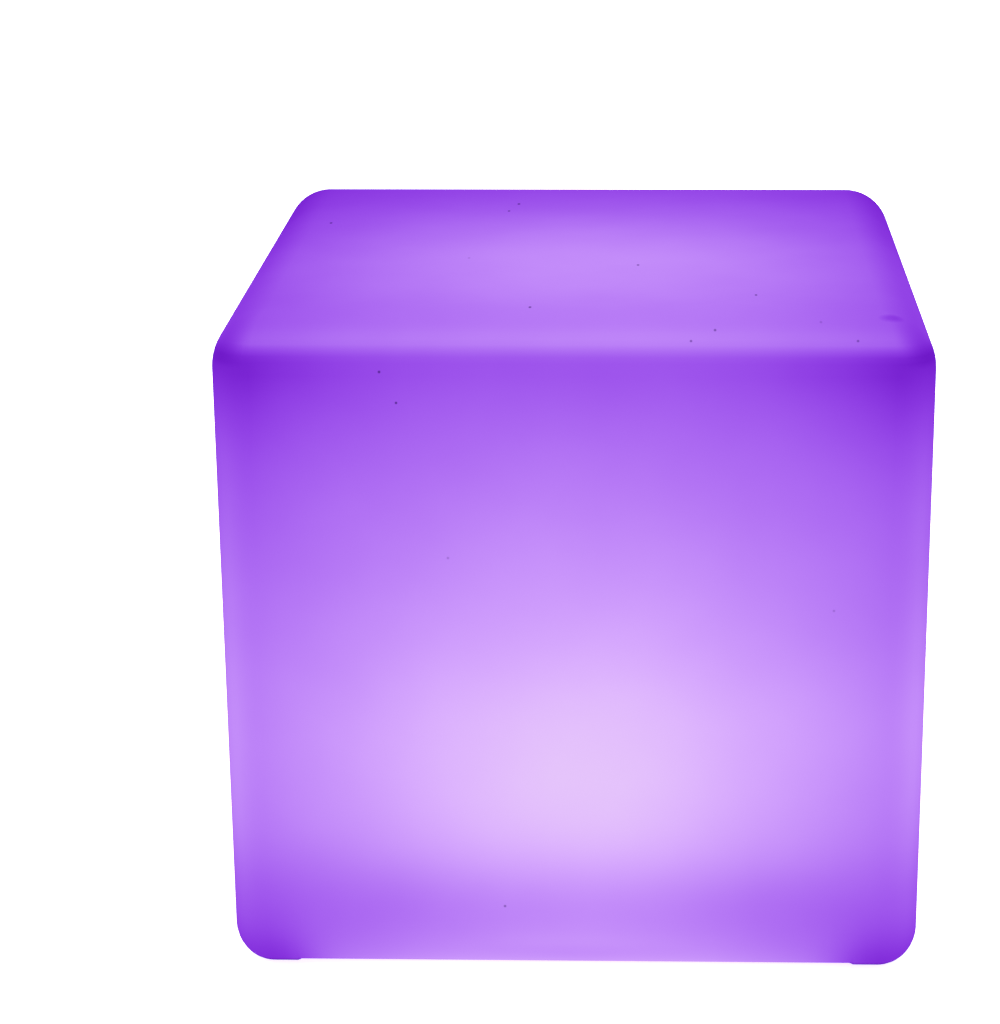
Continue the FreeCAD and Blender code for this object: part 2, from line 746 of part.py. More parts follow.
def make_dome():
    """The clear dome: a flange and a shallow spherical crown, hollow, with screw holes."""
    ball_radius = "((pow(dome_radius; 2) + pow(dome_rise; 2)) / (2 * dome_rise))"
    ball_centre = f"({DOME_SHOULDER} + dome_rise - {ball_radius})"
    above = add_cylinder("CrownZone", "dome_radius", DOME_SHOULDER,
                         f"({DOME_SHOULDER} + dome_rise + {PAST})")
    crown = common("Crown", add_sphere("CrownBall", ball_radius, ball_centre), above)
    flange = add_cylinder("DomeFlange", PAN_RADIUS, DOME_SEAT, DOME_SHOULDER)
    tools = [add_sphere("CrownHollow", f"{ball_radius} - dome_wall", ball_centre)]
    for step in range(POST_COUNT):
        x, y = on_circle(POST_CIRCLE, DOME_POST_ANGLE + FULL_TURN / POST_COUNT * step)
        tools.append(add_cylinder(f"DomeHole{step}", SCREW_HOLE, f"{DOME_SEAT} - {PAST}",
                                  f"{DOME_SHOULDER} + {PAST}", x, y))
    dome = cut("Dome", fuse("DomeBlank", [flange, crown]), fuse("DomeTools", tools))
    dome.Label = "lens_dome"
    return dome


def make_dome_seal():
    """The ring between the pan's rim and the dome's flange."""
    return ring("dome_seal", PAN_INNER, PAN_RADIUS, PAN_RIM, DOME_SEAT)


# ---------------------------------------------------------------- boards


def make_led_board():
    """The round LED board, with screw holes and clear notches for the dome's posts."""
    body = new_body("led_board")
    outline = new_sketch(body, "LedBoardOutline", lift=LED_SEAT)
    add_circle(outline, f"{PAN_INNER} - board_gap")
    pad(body, outline, "board_thick")
    for name, radius, angle in (("LedBoardHole", SCREW_HOLE, LED_POST_ANGLE),
                                ("LedBoardNotch", "post_radius + board_gap / 2", DOME_POST_ANGLE)):
        sketch = new_sketch(body, name, lift=LED_TOP)
        for step in range(POST_COUNT):
            x, y = on_circle(POST_CIRCLE, angle + FULL_TURN / POST_COUNT * step)
            add_circle(sketch, radius, x, y)
        pocket(body, sketch, "board_thick")
    return body


def make_leds():
    """Two rings of LEDs on the board, and the remote's receiver in the middle."""
    doc.recompute()
    side, height = value("led_side"), value("led_height")
    corner = V(-side / 2, -side / 2, 0)
    for name, count, circle in (("colour_leds", "colour_led_count", "colour_led_circle"),
                                ("white_leds", "white_led_count", "white_led_circle")):
        number = int(value(count))
        shapes = []
        for step, place in enumerate(points_round(circle, number, 0, LED_TOP)):
            shape = Part.makeBox(side, side, height, corner)
            turn = FreeCAD.Rotation(UP, FULL_TURN / number * step)
            shape.Placement = FreeCAD.Placement(place, turn)
            shapes.append(shape)
        group(name, shapes)
    half = "receiver_side / 2"
    receiver = add_box("Receiver", f"-{half}", half, f"-{half}", half,
                       LED_TOP, f"{LED_TOP} + receiver_height")
    receiver.Label = "remote_receiver"


def make_control_board():
    """The control board across the pan, over the cells."""
    body = new_body("control_board")
    outline = new_sketch(body, "ControlOutline", lift=CONTROL_SEAT)
    add_rectangle(outline, f"-{CONTROL_BOARD_END}", CONTROL_BOARD_END,
                  "-control_board_half_width", "control_board_half_width")
    pad(body, outline, "board_thick")
    holes = new_sketch(body, "ControlHoles", lift=CONTROL_TOP)
    for x, y in control_posts():
        add_circle(holes, SCREW_HOLE, x, y)
    pocket(body, holes, "board_thick")


def board_block(length, width, height, x, y):
    """A block of expressions' size standing on the control board, centred on x and y."""
    size = V(value(length), value(width), value(height))
    corner = V(value(x) - size.x / 2, value(y) - size.y / 2, value(CONTROL_TOP))
    return Part.makeBox(size.x, size.y, size.z, corner)


def make_control_parts():
    """What stands on the control board: chips, choke, capacitors, plugs and the stacking header."""
    chips = [board_block("chip_side", "chip_side", "chip_height", "chip_offset", "chip_setback")]
    for step in range(DRIVER_COUNT):
        x = f"chip_offset + chip_side + {step} * driver_pitch"
        chips.append(board_block("driver_length", "driver_width", "chip_height", x, "chip_setback"))
    group("control_chips", chips)

    low = f"{CONTROL_TOP}"
    high = f"({CONTROL_TOP} + choke_height)"
    choke = turned("boost_choke", [
        ("0", low), ("choke_radius", low), ("choke_radius", f"({low} + choke_rim)"),
        ("choke_waist", f"({low} + choke_rim)"), ("choke_waist", f"({high} - choke_rim)"),
        ("choke_radius", f"({high} - choke_rim)"), ("choke_radius", high), ("0", high)])
    shift(choke, x=f"choke_setback - {CONTROL_BOARD_END}")

    radius, height = value("capacitor_radius"), value("capacitor_height")
    spread = "(capacitor_radius + board_gap)"
    across = f"(capacitor_setback - {CONTROL_BOARD_END})"
    places = [point(across, y, CONTROL_TOP) for y in (f"-{spread}", spread)]
    group("capacitors", [Part.makeCylinder(radius, height, place) for place in places])

    header = add_box("Header", "-header_half_length", "header_half_length",
                     "-(header_setback + header_half_width)", "-(header_setback - header_half_width)",
                     CONTROL_TOP, LED_SEAT)
    header.Label = "stacking_header"

    front = "-(control_board_half_width - plug_depth / 2)"
    back = "control_board_half_width - plug_depth / 2"
    strip = f"({STRIP_INNER} + strip_thick / 2)"
    plugs = [(f"-{strip}", back), (strip, back), (BUTTON_X, front), (SOCKET_X, front)]
    group("board_plugs", [board_block("2 * plug_half_width", "plug_depth", "plug_height", x, y)
                          for x, y in plugs])


# ---------------------------------------------------------------- cells


def make_cells():
    """Two round cells lying along X, each with its raised positive end."""
    can_top = "(cell_length - cell_nub_height)"
    for name, y in (("front_cell", FRONT_CELL), ("rear_cell", REAR_CELL)):
        cell = turned(name, [("0", "0"), ("cell_radius", "0"), ("cell_radius", can_top),
                             ("cell_nub_radius", can_top), ("cell_nub_radius", "cell_length"),
                             ("0", "cell_length")])
        cell.Placement = FreeCAD.Placement(V(), FreeCAD.Rotation(V(0, 1, 0), 90))
        shift(cell, f"-{STRIP_INNER}", y, CELL_AXIS)


def make_holder():
    """The tray that the cells snap into, with end walls and two screw lugs."""
    blocks = [add_box("HolderBlock", f"-{HOLDER_END}", HOLDER_END, "holder_setback", HOLDER_BACK,
                      PAN_FLOOR, HOLDER_TOP)]
    tools = []
    for step, (x, y) in enumerate(lug_posts()):
        blocks.append(add_box(f"Lug{step}", f"{x} - lug_half_width", f"{x} + lug_half_width",
                              "holder_setback - lug_reach", "holder_setback + holder_wall / 2",
                              LUG_SEAT, f"{LUG_SEAT} + lug_thick"))
        tools.append(add_cylinder(f"LugHole{step}", SCREW_HOLE, LUG_SEAT,
                                  f"{LUG_SEAT} + lug_thick", x, y))
    for name, y in (("FrontBore", FRONT_CELL), ("RearBore", REAR_CELL)):
        bore = doc.addObject("Part::Cylinder", name)
        bore.setExpression("Radius", bound(CELL_BORE))
        bore.setExpression("Height", bound(f"2 * {HOLDER_BORE_END}"))
        bore.Placement = FreeCAD.Placement(V(), FreeCAD.Rotation(V(0, 1, 0), 90))
        shift(bore, f"-{HOLDER_BORE_END}", y, CELL_AXIS)
        tools.append(bore)
    inner_end = f"({STRIP_INNER} - strip_play)"
    strip_low = f"({CELL_AXIS} - strip_half_height - strip_play)"
    for name, low, high in (("LeftPocket", f"-{HOLDER_BORE_END}", f"-{inner_end}"),
                            ("RightPocket", inner_end, HOLDER_BORE_END)):
        tools.append(add_box(name, low, high, FRONT_CELL, REAR_CELL, strip_low,
                             f"{HOLDER_TOP} + {PAST}"))
    holder = cut("CellHolder", fuse("HolderBlocks", blocks), fuse("HolderTools", tools))
    holder.Label = "cell_holder"


def make_strips():
    """The nickel strips that join the cells' ends, each with a tab for its wire."""
    low = f"({CELL_AXIS} - strip_half_height)"
    high = f"({CELL_AXIS} + strip_half_height)"
    tab_top = f"({CELL_AXIS} + tab_rise)"
    y_low = f"({FRONT_CELL} - strip_overlap)"
    y_high = f"({REAR_CELL} + strip_overlap)"
    tab_low = f"({HOLDER_MIDDLE} - tab_half_width)"
    tab_high = f"({HOLDER_MIDDLE} + tab_half_width)"
    for name, start in (("negative_strip", f"-{STRIP_OUTER}"), ("positive_strip", STRIP_INNER)):
        body = new_body(name)
        outline = new_sketch(body, f"{name}Outline", "YZ_Plane", start)
        add_polygon(outline, [(y_low, low), (y_high, low), (y_high, high), (tab_high, high),
                              (tab_high, tab_top), (tab_low, tab_top), (tab_low, high),
                              (y_low, high)])
        pad(body, outline, "strip_thick")


# ---------------------------------------------------------------- push button and switch


def make_button():
    """The button's cap, turned: face, groove for its ring, flange behind the pan, and stem."""
    flange_top = f"({PAN_FLOOR} + button_flange_thick)"
    groove_low = f"({RING_LEVEL} - button_ring_radius - button_ring_gap)"
    groove_high = f"({RING_LEVEL} + button_ring_radius + button_ring_gap)"
    groove = f"({RING_CENTRE} - button_ring_radius - button_ring_gap)"
    button = turned("power_button", [
        ("0", f"({BUTTON_LOW} + button_dish)"), ("(button_radius - button_rim)", BUTTON_LOW),
        ("(button_radius - button_chamfer)", BUTTON_LOW),
        ("button_radius", f"({BUTTON_LOW} + button_chamfer)"),
        ("button_radius", groove_low), (groove, groove_low), (groove, groove_high),
        ("button_radius", groove_high), ("button_radius", PAN_FLOOR), (BUTTON_FLANGE, PAN_FLOOR),
        (BUTTON_FLANGE, flange_top), ("button_stem_radius", flange_top),
        ("button_stem_radius", f"({flange_top} + button_stem_length)"),
        ("0", f"({flange_top} + button_stem_length)")])
    shift(button, BUTTON_X, FITTING_Y)
    seal = doc.addObject("Part::Torus", "ButtonRing")
    seal.setExpression("Radius1", bound(RING_CENTRE))
    seal.setExpression("Radius2", bound("button_ring_radius"))
    shift(seal, BUTTON_X, FITTING_Y, RING_LEVEL)
    seal.Label = "button_ring"


def make_switch():
    """The switch over the button: its case, its plunger, its board and the charge light."""
    hole = "(plunger_radius + plunger_gap)"
    half = "tact_side / 2"
    case = add_box("TactCase", f"{BUTTON_X} - {half}", f"{BUTTON_X} + {half}",
                   f"{FITTING_Y} - {half}", f"{FITTING_Y} + {half}", TACT_LOW, SWITCH_SEAT)
    well = add_cylinder("TactWell", hole, f"{TACT_LOW} - {PAST}", f"{SWITCH_SEAT} - tact_floor",
                        BUTTON_X, FITTING_Y)
    switch = cut("Tact", case, well)
    switch.Label = "switch_case"
    plunger_top = f"({SWITCH_SEAT} - tact_floor - button_travel - plunger_gap)"
    plunger = turned("switch_plunger", [
        ("0", f"({TACT_LOW} - plunger_reach)"), ("plunger_radius", f"({TACT_LOW} - plunger_reach)"),
        ("plunger_radius", plunger_top), ("0", plunger_top)])
    shift(plunger, BUTTON_X, FITTING_Y)

    board = new_body("switch_board")
    outline = new_sketch(board, "SwitchBoardOutline", lift=SWITCH_SEAT)
    add_rectangle(outline, f"{BUTTON_X} - {SWITCH_BOARD_HALF}", f"{BUTTON_X} + {SWITCH_BOARD_HALF}",
                  f"{FITTING_Y} - switch_board_far", f"{FITTING_Y} + switch_board_near")
    pad(board, outline, "board_thick")
    holes = new_sketch(board, "SwitchBoardHoles", lift=SWITCH_TOP)
    for x, y in switch_posts():
        add_circle(holes, SCREW_HOLE, x, y)
    pocket(board, holes, "board_thick")

    side = "charge_led_side / 2"
    lamp = add_box("ChargeLed", f"{BUTTON_X} - {side}", f"{BUTTON_X} + {side}",
                   f"-pipe_setback - {side}", f"-pipe_setback + {side}",
                   f"{SWITCH_SEAT} - charge_led_height", SWITCH_SEAT)
    lamp.Label = "charge_led"
    pipe_top = f"({SWITCH_SEAT} - charge_led_height - pipe_air)"
    head = "(pipe_radius + pipe_head)"
    pipe = turned("light_pipe", [
        ("0", PAN_UNDER), ("pipe_radius", PAN_UNDER), ("pipe_radius", PAN_FLOOR), (head, PAN_FLOOR),
        (head, f"({PAN_FLOOR} + pipe_head_thick)"),
        ("pipe_radius", f"({PAN_FLOOR} + pipe_head_thick)"), ("pipe_radius", pipe_top),
        ("0", pipe_top)])
    shift(pipe, BUTTON_X, "-pipe_setback")


# ---------------------------------------------------------------- charging socket


def make_socket():
    """The socket: bezel and threaded barrel in one, its centre pin, terminals and nut."""
    socket = turned("charge_socket", [
        ("socket_bore_radius", BEZEL_LOW), ("socket_bezel_radius", BEZEL_LOW),
        ("socket_bezel_radius", CAP_RING_LOW), ("socket_radius", CAP_RING_LOW),
        ("socket_radius", SOCKET_TOP), ("0", SOCKET_TOP), ("0", BORE_TOP),
        ("socket_bore_radius", BORE_TOP)])
    shift(socket, SOCKET_X, FITTING_Y)
    pin_low = f"({BORE_TOP} - socket_pin_length)"
    pin = turned("socket_pin", [("0", pin_low), ("(socket_pin_radius / 2)", pin_low),
                                ("socket_pin_radius", f"({pin_low} + socket_pin_radius / 2)"),
                                ("socket_pin_radius", BORE_TOP), ("0", BORE_TOP)])
    shift(pin, SOCKET_X, FITTING_Y)
    terminals = [add_box(f"Terminal{step}", f"{x} - terminal_half_width", f"{x} + terminal_half_width",
                         f"{FITTING_Y} - terminal_half_thick", f"{FITTING_Y} + terminal_half_thick",
                         SOCKET_TOP, f"{SOCKET_TOP} + terminal_length")
                 for step, x in enumerate(terminal_places())]
    doc.recompute()
    group("socket_terminals", [terminal.Shape for terminal in terminals])

    nut = new_body("socket_nut")
    outline = new_sketch(nut, "NutOutline", lift=PAN_FLOOR)
    side_angle = FULL_TURN / NUT_SIDES
    corner = f"(nut_across_flats / 2 / cos({side_angle / 2} deg))"
    add_polygon(outline, [(f"{SOCKET_X} + {corner} * cos({side_angle * step} deg)",
                           f"{FITTING_Y} + {corner} * sin({side_angle * step} deg)")
                          for step in range(NUT_SIDES)])
    add_circle(outline, "socket_radius + nut_gap", SOCKET_X, FITTING_Y)
    pad(nut, outline, "nut_thick")


def terminal_places():
    """The X of the socket's two terminals."""
    return [f"({SOCKET_X} - terminal_spread)", f"({SOCKET_X} + terminal_spread)"]


def hinge_barrel(name, y_low, y_high):
    """A round barrel along Y on the cap's hinge line."""
    barrel = doc.addObject("Part::Cylinder", name)
    barrel.setExpression("Radius", bound("knuckle_radius"))
    barrel.setExpression("Height", bound(f"{y_high} - ({y_low})"))
    barrel.Placement = FreeCAD.Placement(V(), FreeCAD.Rotation(V(1, 0, 0), -90))
    shift(barrel, HINGE_X, y_low, HINGE_LEVEL)
    return barrel


def make_cap():
    """The rubber cap and the ring that holds it, bending at a thin web between them."""
    web = "(cap_tongue_half_width + knuckle_gap)"
    ring_disc = add_cylinder("CapRingDisc", CAP_RING_OUTER, CAP_RING_LOW, PAN_UNDER, SOCKET_X, FITTING_Y)
    strap = add_box("CapStrap", SOCKET_X, f"{HINGE_X} + knuckle_radius",
                    f"{FITTING_Y} - cap_strap_half_width", f"{FITTING_Y} + cap_strap_half_width",
                    CAP_RING_LOW, PAN_UNDER)
    near = hinge_barrel("NearBarrel", f"{FITTING_Y} - cap_strap_half_width", f"{FITTING_Y} - {web}")
    far = hinge_barrel("FarBarrel", f"{FITTING_Y} + {web}", f"{FITTING_Y} + cap_strap_half_width")
    hole = add_cylinder("CapRingHole", "socket_radius + knuckle_gap", f"{CAP_RING_LOW} - {PAST}",
                        f"{PAN_UNDER} + {PAST}", SOCKET_X, FITTING_Y)
    notch = add_box("CapNotch", f"{HINGE_X} - knuckle_radius - knuckle_gap",
                    f"{HINGE_X} + knuckle_radius + {PAST}", f"{FITTING_Y} - {web}",
                    f"{FITTING_Y} + {web}", f"{CAP_RING_LOW} - {PAST}", f"{PAN_UNDER} + {PAST}")
    holder = cut("CapRing", fuse("CapRingBlank", [ring_disc, strap, near, far]),
                 fuse("CapRingTools", [hole, notch]))
    holder.Label = "cap_ring"

    disc = add_cylinder("CapDisc", "socket_bezel_radius", CAP_LOW, BEZEL_LOW, SOCKET_X, FITTING_Y)
    nib = add_cylinder("CapNib", "socket_bore_radius - cap_nib_gap", CAP_LOW,
                       f"{BEZEL_LOW} + cap_nib_length", SOCKET_X, FITTING_Y)
    tongue = add_box("CapTongue", SOCKET_X, HINGE_X, f"{FITTING_Y} - cap_tongue_half_width",
                     f"{FITTING_Y} + cap_tongue_half_width", f"{BEZEL_LOW} - cap_tongue_thick",
                     BEZEL_LOW)
    barrel = hinge_barrel("CapBarrel", f"{FITTING_Y} - cap_tongue_half_width",
                          f"{FITTING_Y} + cap_tongue_half_width")
    cap = fuse("PortCap", [disc, nib, tongue, barrel])
    cap.Label = "port_cap"


# ---------------------------------------------------------------- wires


def wire_solid(name, points):
    """A round wire along straight runs joined by tangent arcs, as large as the runs allow."""
    radius = value("wire_radius")
    edges = []
    here = points[0]
    for before, corner, after in zip(points, points[1:], points[2:]):
        towards, onwards = (corner - before), (after - corner)
        half_turn = towards.getAngle(onwards) / 2
        setback = RUN_SHARE * min(towards.Length, onwards.Length)
        bend = setback / math.tan(half_turn)
        enter = corner - towards * (setback / towards.Length)
        leave = corner + onwards * (setback / onwards.Length)
        bisector = (leave - corner).normalize() + (enter - corner).normalize()
        middle = corner + bisector.normalize() * (bend / math.cos(half_turn) - bend)
        edges.append(Part.LineSegment(here, enter).toShape())
        edges.append(Part.Arc(enter, middle, leave).toShape())
        print(f"{name}: bend radius {bend:.2f} mm on a wire of {2 * radius:.1f} mm")
        here = leave
    edges.append(Part.LineSegment(here, points[-1]).toShape())
    path = Part.Wire(edges)
    section = Part.Wire([Part.Circle(points[0], points[1] - points[0], radius).toShape()])
    solid = path.makePipeShell([section], True, False)
    expected = math.pi * radius ** 2 * path.Length
    print(f"{name}: volume {solid.Volume:.3f} mm3, section times length {expected:.3f} mm3")
    return solid


def rise_and_turn(name, x, y_start, z_start, y_end):
    """A wire that rises from a terminal and turns into a plug on the control board."""
    level = value(WIRE_LEVEL)
    across, start, end = value(x), value(y_start), value(y_end)
    points = [V(across, start, value(z_start)), V(across, start, level), V(across, end, level)]
    return wire_solid(name, points)


def make_wires():
    """The leads of the cells, the charging socket and the switch board."""
    strip = f"({STRIP_INNER} + strip_thick / 2)"
    tab_top = f"{CELL_AXIS} + tab_rise"
    edge = "control_board_half_width"
    for name, x in (("negative_cell_lead", f"-{strip}"), ("positive_cell_lead", strip)):
        group(name, [rise_and_turn(name, x, HOLDER_MIDDLE, tab_top, edge)])
    names = ("positive_socket_lead", "negative_socket_lead")
    for name, x in zip(names, terminal_places()):
        top = f"{SOCKET_TOP} + terminal_length"
        group(name, [rise_and_turn(name, x, FITTING_Y, top, f"-{edge}")])
    count = int(value("switch_wire_count"))
    wires = []
    for step in range(count):
        x = f"{BUTTON_X} + switch_wire_pitch * {step - (count - 1) / 2}"
        wires.append(rise_and_turn("switch_leads", x, "-switch_wire_setback", SWITCH_TOP, f"-{edge}"))
    group("switch_leads", wires)


# ---------------------------------------------------------------- the whole lamp

NODES = [
    "shell", "threaded_inserts", "base_pan", "flange_gasket", "flange_screws",
    "lens_dome", "dome_seal", "dome_screws",
    "led_board", "colour_leds", "white_leds", "remote_receiver", "led_board_screws",
    "control_board", "control_chips", "boost_choke", "capacitors", "board_plugs",
    "stacking_header", "control_board_screws",
    "cell_holder", "front_cell", "rear_cell", "negative_strip", "positive_strip", "holder_screws",
    "power_button", "button_ring", "switch_plunger", "switch_case", "switch_board",
    "switch_board_screws", "charge_led", "light_pipe",
    "charge_socket", "socket_pin", "socket_terminals", "socket_nut", "cap_ring", "port_cap",
    "negative_cell_lead", "positive_cell_lead", "positive_socket_lead", "negative_socket_lead",
    "switch_leads",
]


def check_objects():
    """Stops on any failed object and on any sub-part whose shape is missing or not valid."""
    for thing in doc.Objects:
        if "Invalid" in thing.State or "Error" in thing.State:
            raise ValueError(f"{thing.Label} failed: {thing.State}")
    for node in NODES:
        found = doc.getObjectsByLabel(node)
        if len(found) != 1:
            raise ValueError(f"{node}: {len(found)} objects have this label")
        shape = found[0].Shape
        if shape.isNull() or not shape.isValid() or not shape.Solids:
            raise ValueError(f"{node}: its shape is missing or not valid")


def write_parts():
    """Writes one file per sub-part."""
    os.makedirs("parts", exist_ok=True)
    for node in NODES:
        shape = doc.getObjectsByLabel(node)[0].Shape
        shape.exportStep(f"parts/{node}.step")
        print(f"{node}: {len(shape.Solids)} solid(s), {shape.Volume / 1000:.3f} cm3")


make_shell()
make_inserts()
make_pan()
make_gasket()
make_dome()
make_dome_seal()
make_led_board()
make_leds()
make_control_board()
make_control_parts()
make_holder()
make_cells()
make_strips()
make_button()
make_switch()
make_socket()
make_cap()
make_wires()
make_screws()
doc.recompute()
check_objects()
write_parts()
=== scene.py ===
# %% [markdown]
# # A glowing cube seat for the garden
#
# The real object is a hollow cube, moulded in one piece from translucent polyethylene by turning a
# hot mould until the melt has coated it. A sealed light unit is screwed into a round recess in its
# underside, and the LEDs shine upwards into the hollow. Nothing is seen of them from outside: what
# the eye meets is the wall itself, lit from within.
#
# This lesson dresses the plain solids of that lamp. The first cells load the solids and read the
# size of the cube from them. Its finer measures are named once, and all else is worked out.

import json

import bmesh
import bpy
import numpy as np
from mathutils import Matrix, Vector


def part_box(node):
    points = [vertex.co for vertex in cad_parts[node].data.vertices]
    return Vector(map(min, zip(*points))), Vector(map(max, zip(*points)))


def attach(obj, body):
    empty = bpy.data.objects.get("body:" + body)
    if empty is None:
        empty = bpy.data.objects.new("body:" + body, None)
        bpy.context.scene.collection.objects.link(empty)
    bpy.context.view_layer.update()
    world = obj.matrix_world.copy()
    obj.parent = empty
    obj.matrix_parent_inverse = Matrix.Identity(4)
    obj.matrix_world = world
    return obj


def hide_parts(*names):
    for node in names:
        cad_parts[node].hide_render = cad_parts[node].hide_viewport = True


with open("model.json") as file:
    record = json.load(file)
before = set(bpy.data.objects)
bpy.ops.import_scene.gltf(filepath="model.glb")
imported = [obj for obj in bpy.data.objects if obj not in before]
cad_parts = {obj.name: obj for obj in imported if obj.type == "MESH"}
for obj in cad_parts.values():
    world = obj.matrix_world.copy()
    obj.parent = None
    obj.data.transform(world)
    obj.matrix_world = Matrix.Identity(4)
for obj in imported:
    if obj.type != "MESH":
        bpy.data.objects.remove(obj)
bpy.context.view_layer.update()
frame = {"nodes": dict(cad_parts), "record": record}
nodes = frame["nodes"]

# %% Name the measures of the moulding
MM = 0.001
shell_low, shell_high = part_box("shell")
HALF_SIDE = shell_high.x
HEIGHT = shell_high.z
TOP_RADIUS = 31 * MM
UPRIGHT_RADIUS = 23 * MM
BOTTOM_RADIUS = 23 * MM
WALL = 4 * MM
FOOT_HEIGHT = 1 * MM
FOOT_START = 162 * MM
FOOT_BLEND = 2.5 * MM
RECESS_RADIUS = 78.73 * MM
RECESS_ROOF = 18 * MM
RIM_RADIUS = 3 * MM
OPENING_RADIUS = 61.13 * MM
print("shell from", [round(v, 4) for v in shell_low], "to", [round(v, 4) for v in shell_high])

# %% [markdown]
# ## The camera
#
# The photograph looks a little down on the front face, from just right of its middle and from
# nearly two metres away, through a longish lens, so that the upright edges hardly converge. The
# place, the lens and the small roll were found by laying the edges of the cube over the edges in
# the photograph. The picture's middle isn't the lens's middle, and the shift makes up for that.

# %% Find the camera's directions
CAMERA_TURN = np.radians(1.5825)
CAMERA_TILT = np.radians(18.5108)
CAMERA_ROLL = np.radians(-0.22)


def camera_axes(turn, tilt, roll):
    """right, up and backward directions: back points from the aim to the camera, and right and up
    are square to it and turned about it by the roll."""
    back = np.array([np.sin(turn) * np.cos(tilt), -np.cos(turn) * np.cos(tilt), np.sin(tilt)])
    right = np.cross(-back, [0, 0, 1])
    right /= np.linalg.norm(right)
    up = np.cross(right, -back)
    rolled_right = np.cos(roll) * right + np.sin(roll) * up
    rolled_up = -np.sin(roll) * right + np.cos(roll) * up
    return rolled_right, rolled_up, back


axis_right, axis_up, axis_back = camera_axes(CAMERA_TURN, CAMERA_TILT, CAMERA_ROLL)
print("from the aim to the camera:", [round(float(v), 3) for v in axis_back])

# %% Place the camera
CAMERA_DISTANCE = 1.838
CAMERA_AIM = np.array([-0.00376, 0.0, 0.17914])
FOCAL_PIXELS = 2920.2
PICTURE_WIDTH, PICTURE_HEIGHT = 1000, 1024
LENS_MIDDLE = 576, 576  # in the picture's pixels, from its upper left corner
SENSOR = 36.0
NEAREST, FARTHEST = 0.05, 60

camera_data = bpy.data.cameras.new("photo_camera")
camera_data.sensor_width = SENSOR
camera_data.lens = FOCAL_PIXELS * SENSOR / PICTURE_HEIGHT
camera_data.shift_x = -(LENS_MIDDLE[0] - PICTURE_WIDTH / 2) / PICTURE_HEIGHT
camera_data.shift_y = (LENS_MIDDLE[1] - PICTURE_HEIGHT / 2) / PICTURE_HEIGHT
camera_data.clip_start, camera_data.clip_end = NEAREST, FARTHEST
camera = bpy.data.objects.new("photo_camera", camera_data)
bpy.context.scene.collection.objects.link(camera)
camera_place = Matrix(np.column_stack([axis_right, axis_up, axis_back]).tolist()).to_4x4()
camera_place.translation = Vector(CAMERA_AIM + axis_back * CAMERA_DISTANCE)
camera.matrix_world = camera_place
bpy.context.scene.camera = camera
print("lens", round(camera_data.lens, 1), "mm at", [round(v, 3) for v in camera_place.translation])

# %% [markdown]
# ## The moulded shell
#
# A rotationally moulded cube has no sharp edge anywhere: the top edge is rounded the most, the
# upright and lower edges a little less, and the walls are nearly the same thickness all over. It
# could be a cube with a Bevel and a Solidify modifier, but then the three edge radii, the low feet
# and the recess would fight each other. Here it is one profile carried round the cube. Each step of
# the profile is a rounded square with its own half side, corner radius and height, and near the
# recess the squares turn into circles. The same number of points runs round every step, so that
# neighbours join in clean four-sided faces, from the middle of the top, down the outside, through
# the recess and back up the inside.

# %% Points round one step of the profile
SIDE_POINTS, FOOT_POINTS, CORNER_POINTS = 49, 7, 8


def side_fractions():
    """Fractions from -1 to 1 along a side, evenly spaced, with closer ones in place of those that
    lie near the beginning of a foot."""
    even = np.linspace(-1, 1, SIDE_POINTS)
    step = FOOT_START / (HALF_SIDE - UPRIGHT_RADIUS)
    blend = FOOT_BLEND / HALF_SIDE
    near = step + np.linspace(-1, 1, FOOT_POINTS) * blend
    even = even[np.abs(np.abs(even) - step) > 1.5 * blend]
    return np.sort(np.concatenate([even, near, -near]))


SIDE = side_fractions()
CORNER = np.linspace(0, np.pi / 2, CORNER_POINTS + 2)[1:-1]


def rounded_square(half, radius):
    """Points round a square of that half side whose corners are arcs of that radius: each side runs
    at x = half with y = fraction x (half - radius), then the arc turns about the corner's centre.
    The other three quarters are the same points turned by right angles."""
    core = half - radius
    side = np.column_stack([np.full(SIDE.size, half), SIDE * core])
    arc = np.column_stack([core + radius * np.cos(CORNER), core + radius * np.sin(CORNER)])
    quarter = np.concatenate([side, arc])
    turns = [np.array([[c, s], [-s, c]]) for c, s in ((1, 0), (0, 1), (-1, 0), (0, -1))]
    return np.concatenate([quarter @ turn for turn in turns])


def circle(radius):
    """Points on a circle, each in the direction of the same point of the plain square."""
    square = rounded_square(HALF_SIDE, UPRIGHT_RADIUS)
    return radius * square / np.linalg.norm(square, axis=1, keepdims=True)


points_round = len(circle(1.0))
print(points_round, "points round the cube")

# %% Steps over the top and its rounding
def after_first(start, end, rows):
    """That many equal steps from start to end, of which the first is past the start."""
    return np.linspace(start, end, rows + 1)[1:]


def level(plan, z):
    """A step of the profile: plan points with one height."""
    return np.column_stack([plan, np.full(len(plan), z)])


def top_down(half, top, corner, crown, face_rows, edge_rows):
    """Steps from the middle of a flat top out to its edge and down its rounding: squares of growing
    half side, then inset = crown radius x (1 - cos) and drop = crown radius x (1 - sin) of the
    angle from the wall, with corners that grow from nothing to the upright radius."""
    flat = half - crown
    steps = [level(rounded_square(s, 0.0), top) for s in np.linspace(0, flat, face_rows)]
    for angle in np.pi / 2 - after_first(0, np.pi / 2, edge_rows):
        inset = crown * (1 - np.cos(angle))
        radius = corner * (1 - inset / crown)
        drop = crown * (1 - np.sin(angle))
        steps.append(level(rounded_square(half - inset, radius), top - drop))
    return steps


FACE_ROWS, CROWN_ROWS = 30, 14
outside = top_down(HALF_SIDE, HEIGHT, UPRIGHT_RADIUS, TOP_RADIUS, FACE_ROWS, CROWN_ROWS)
print(len(outside), "steps over the top")

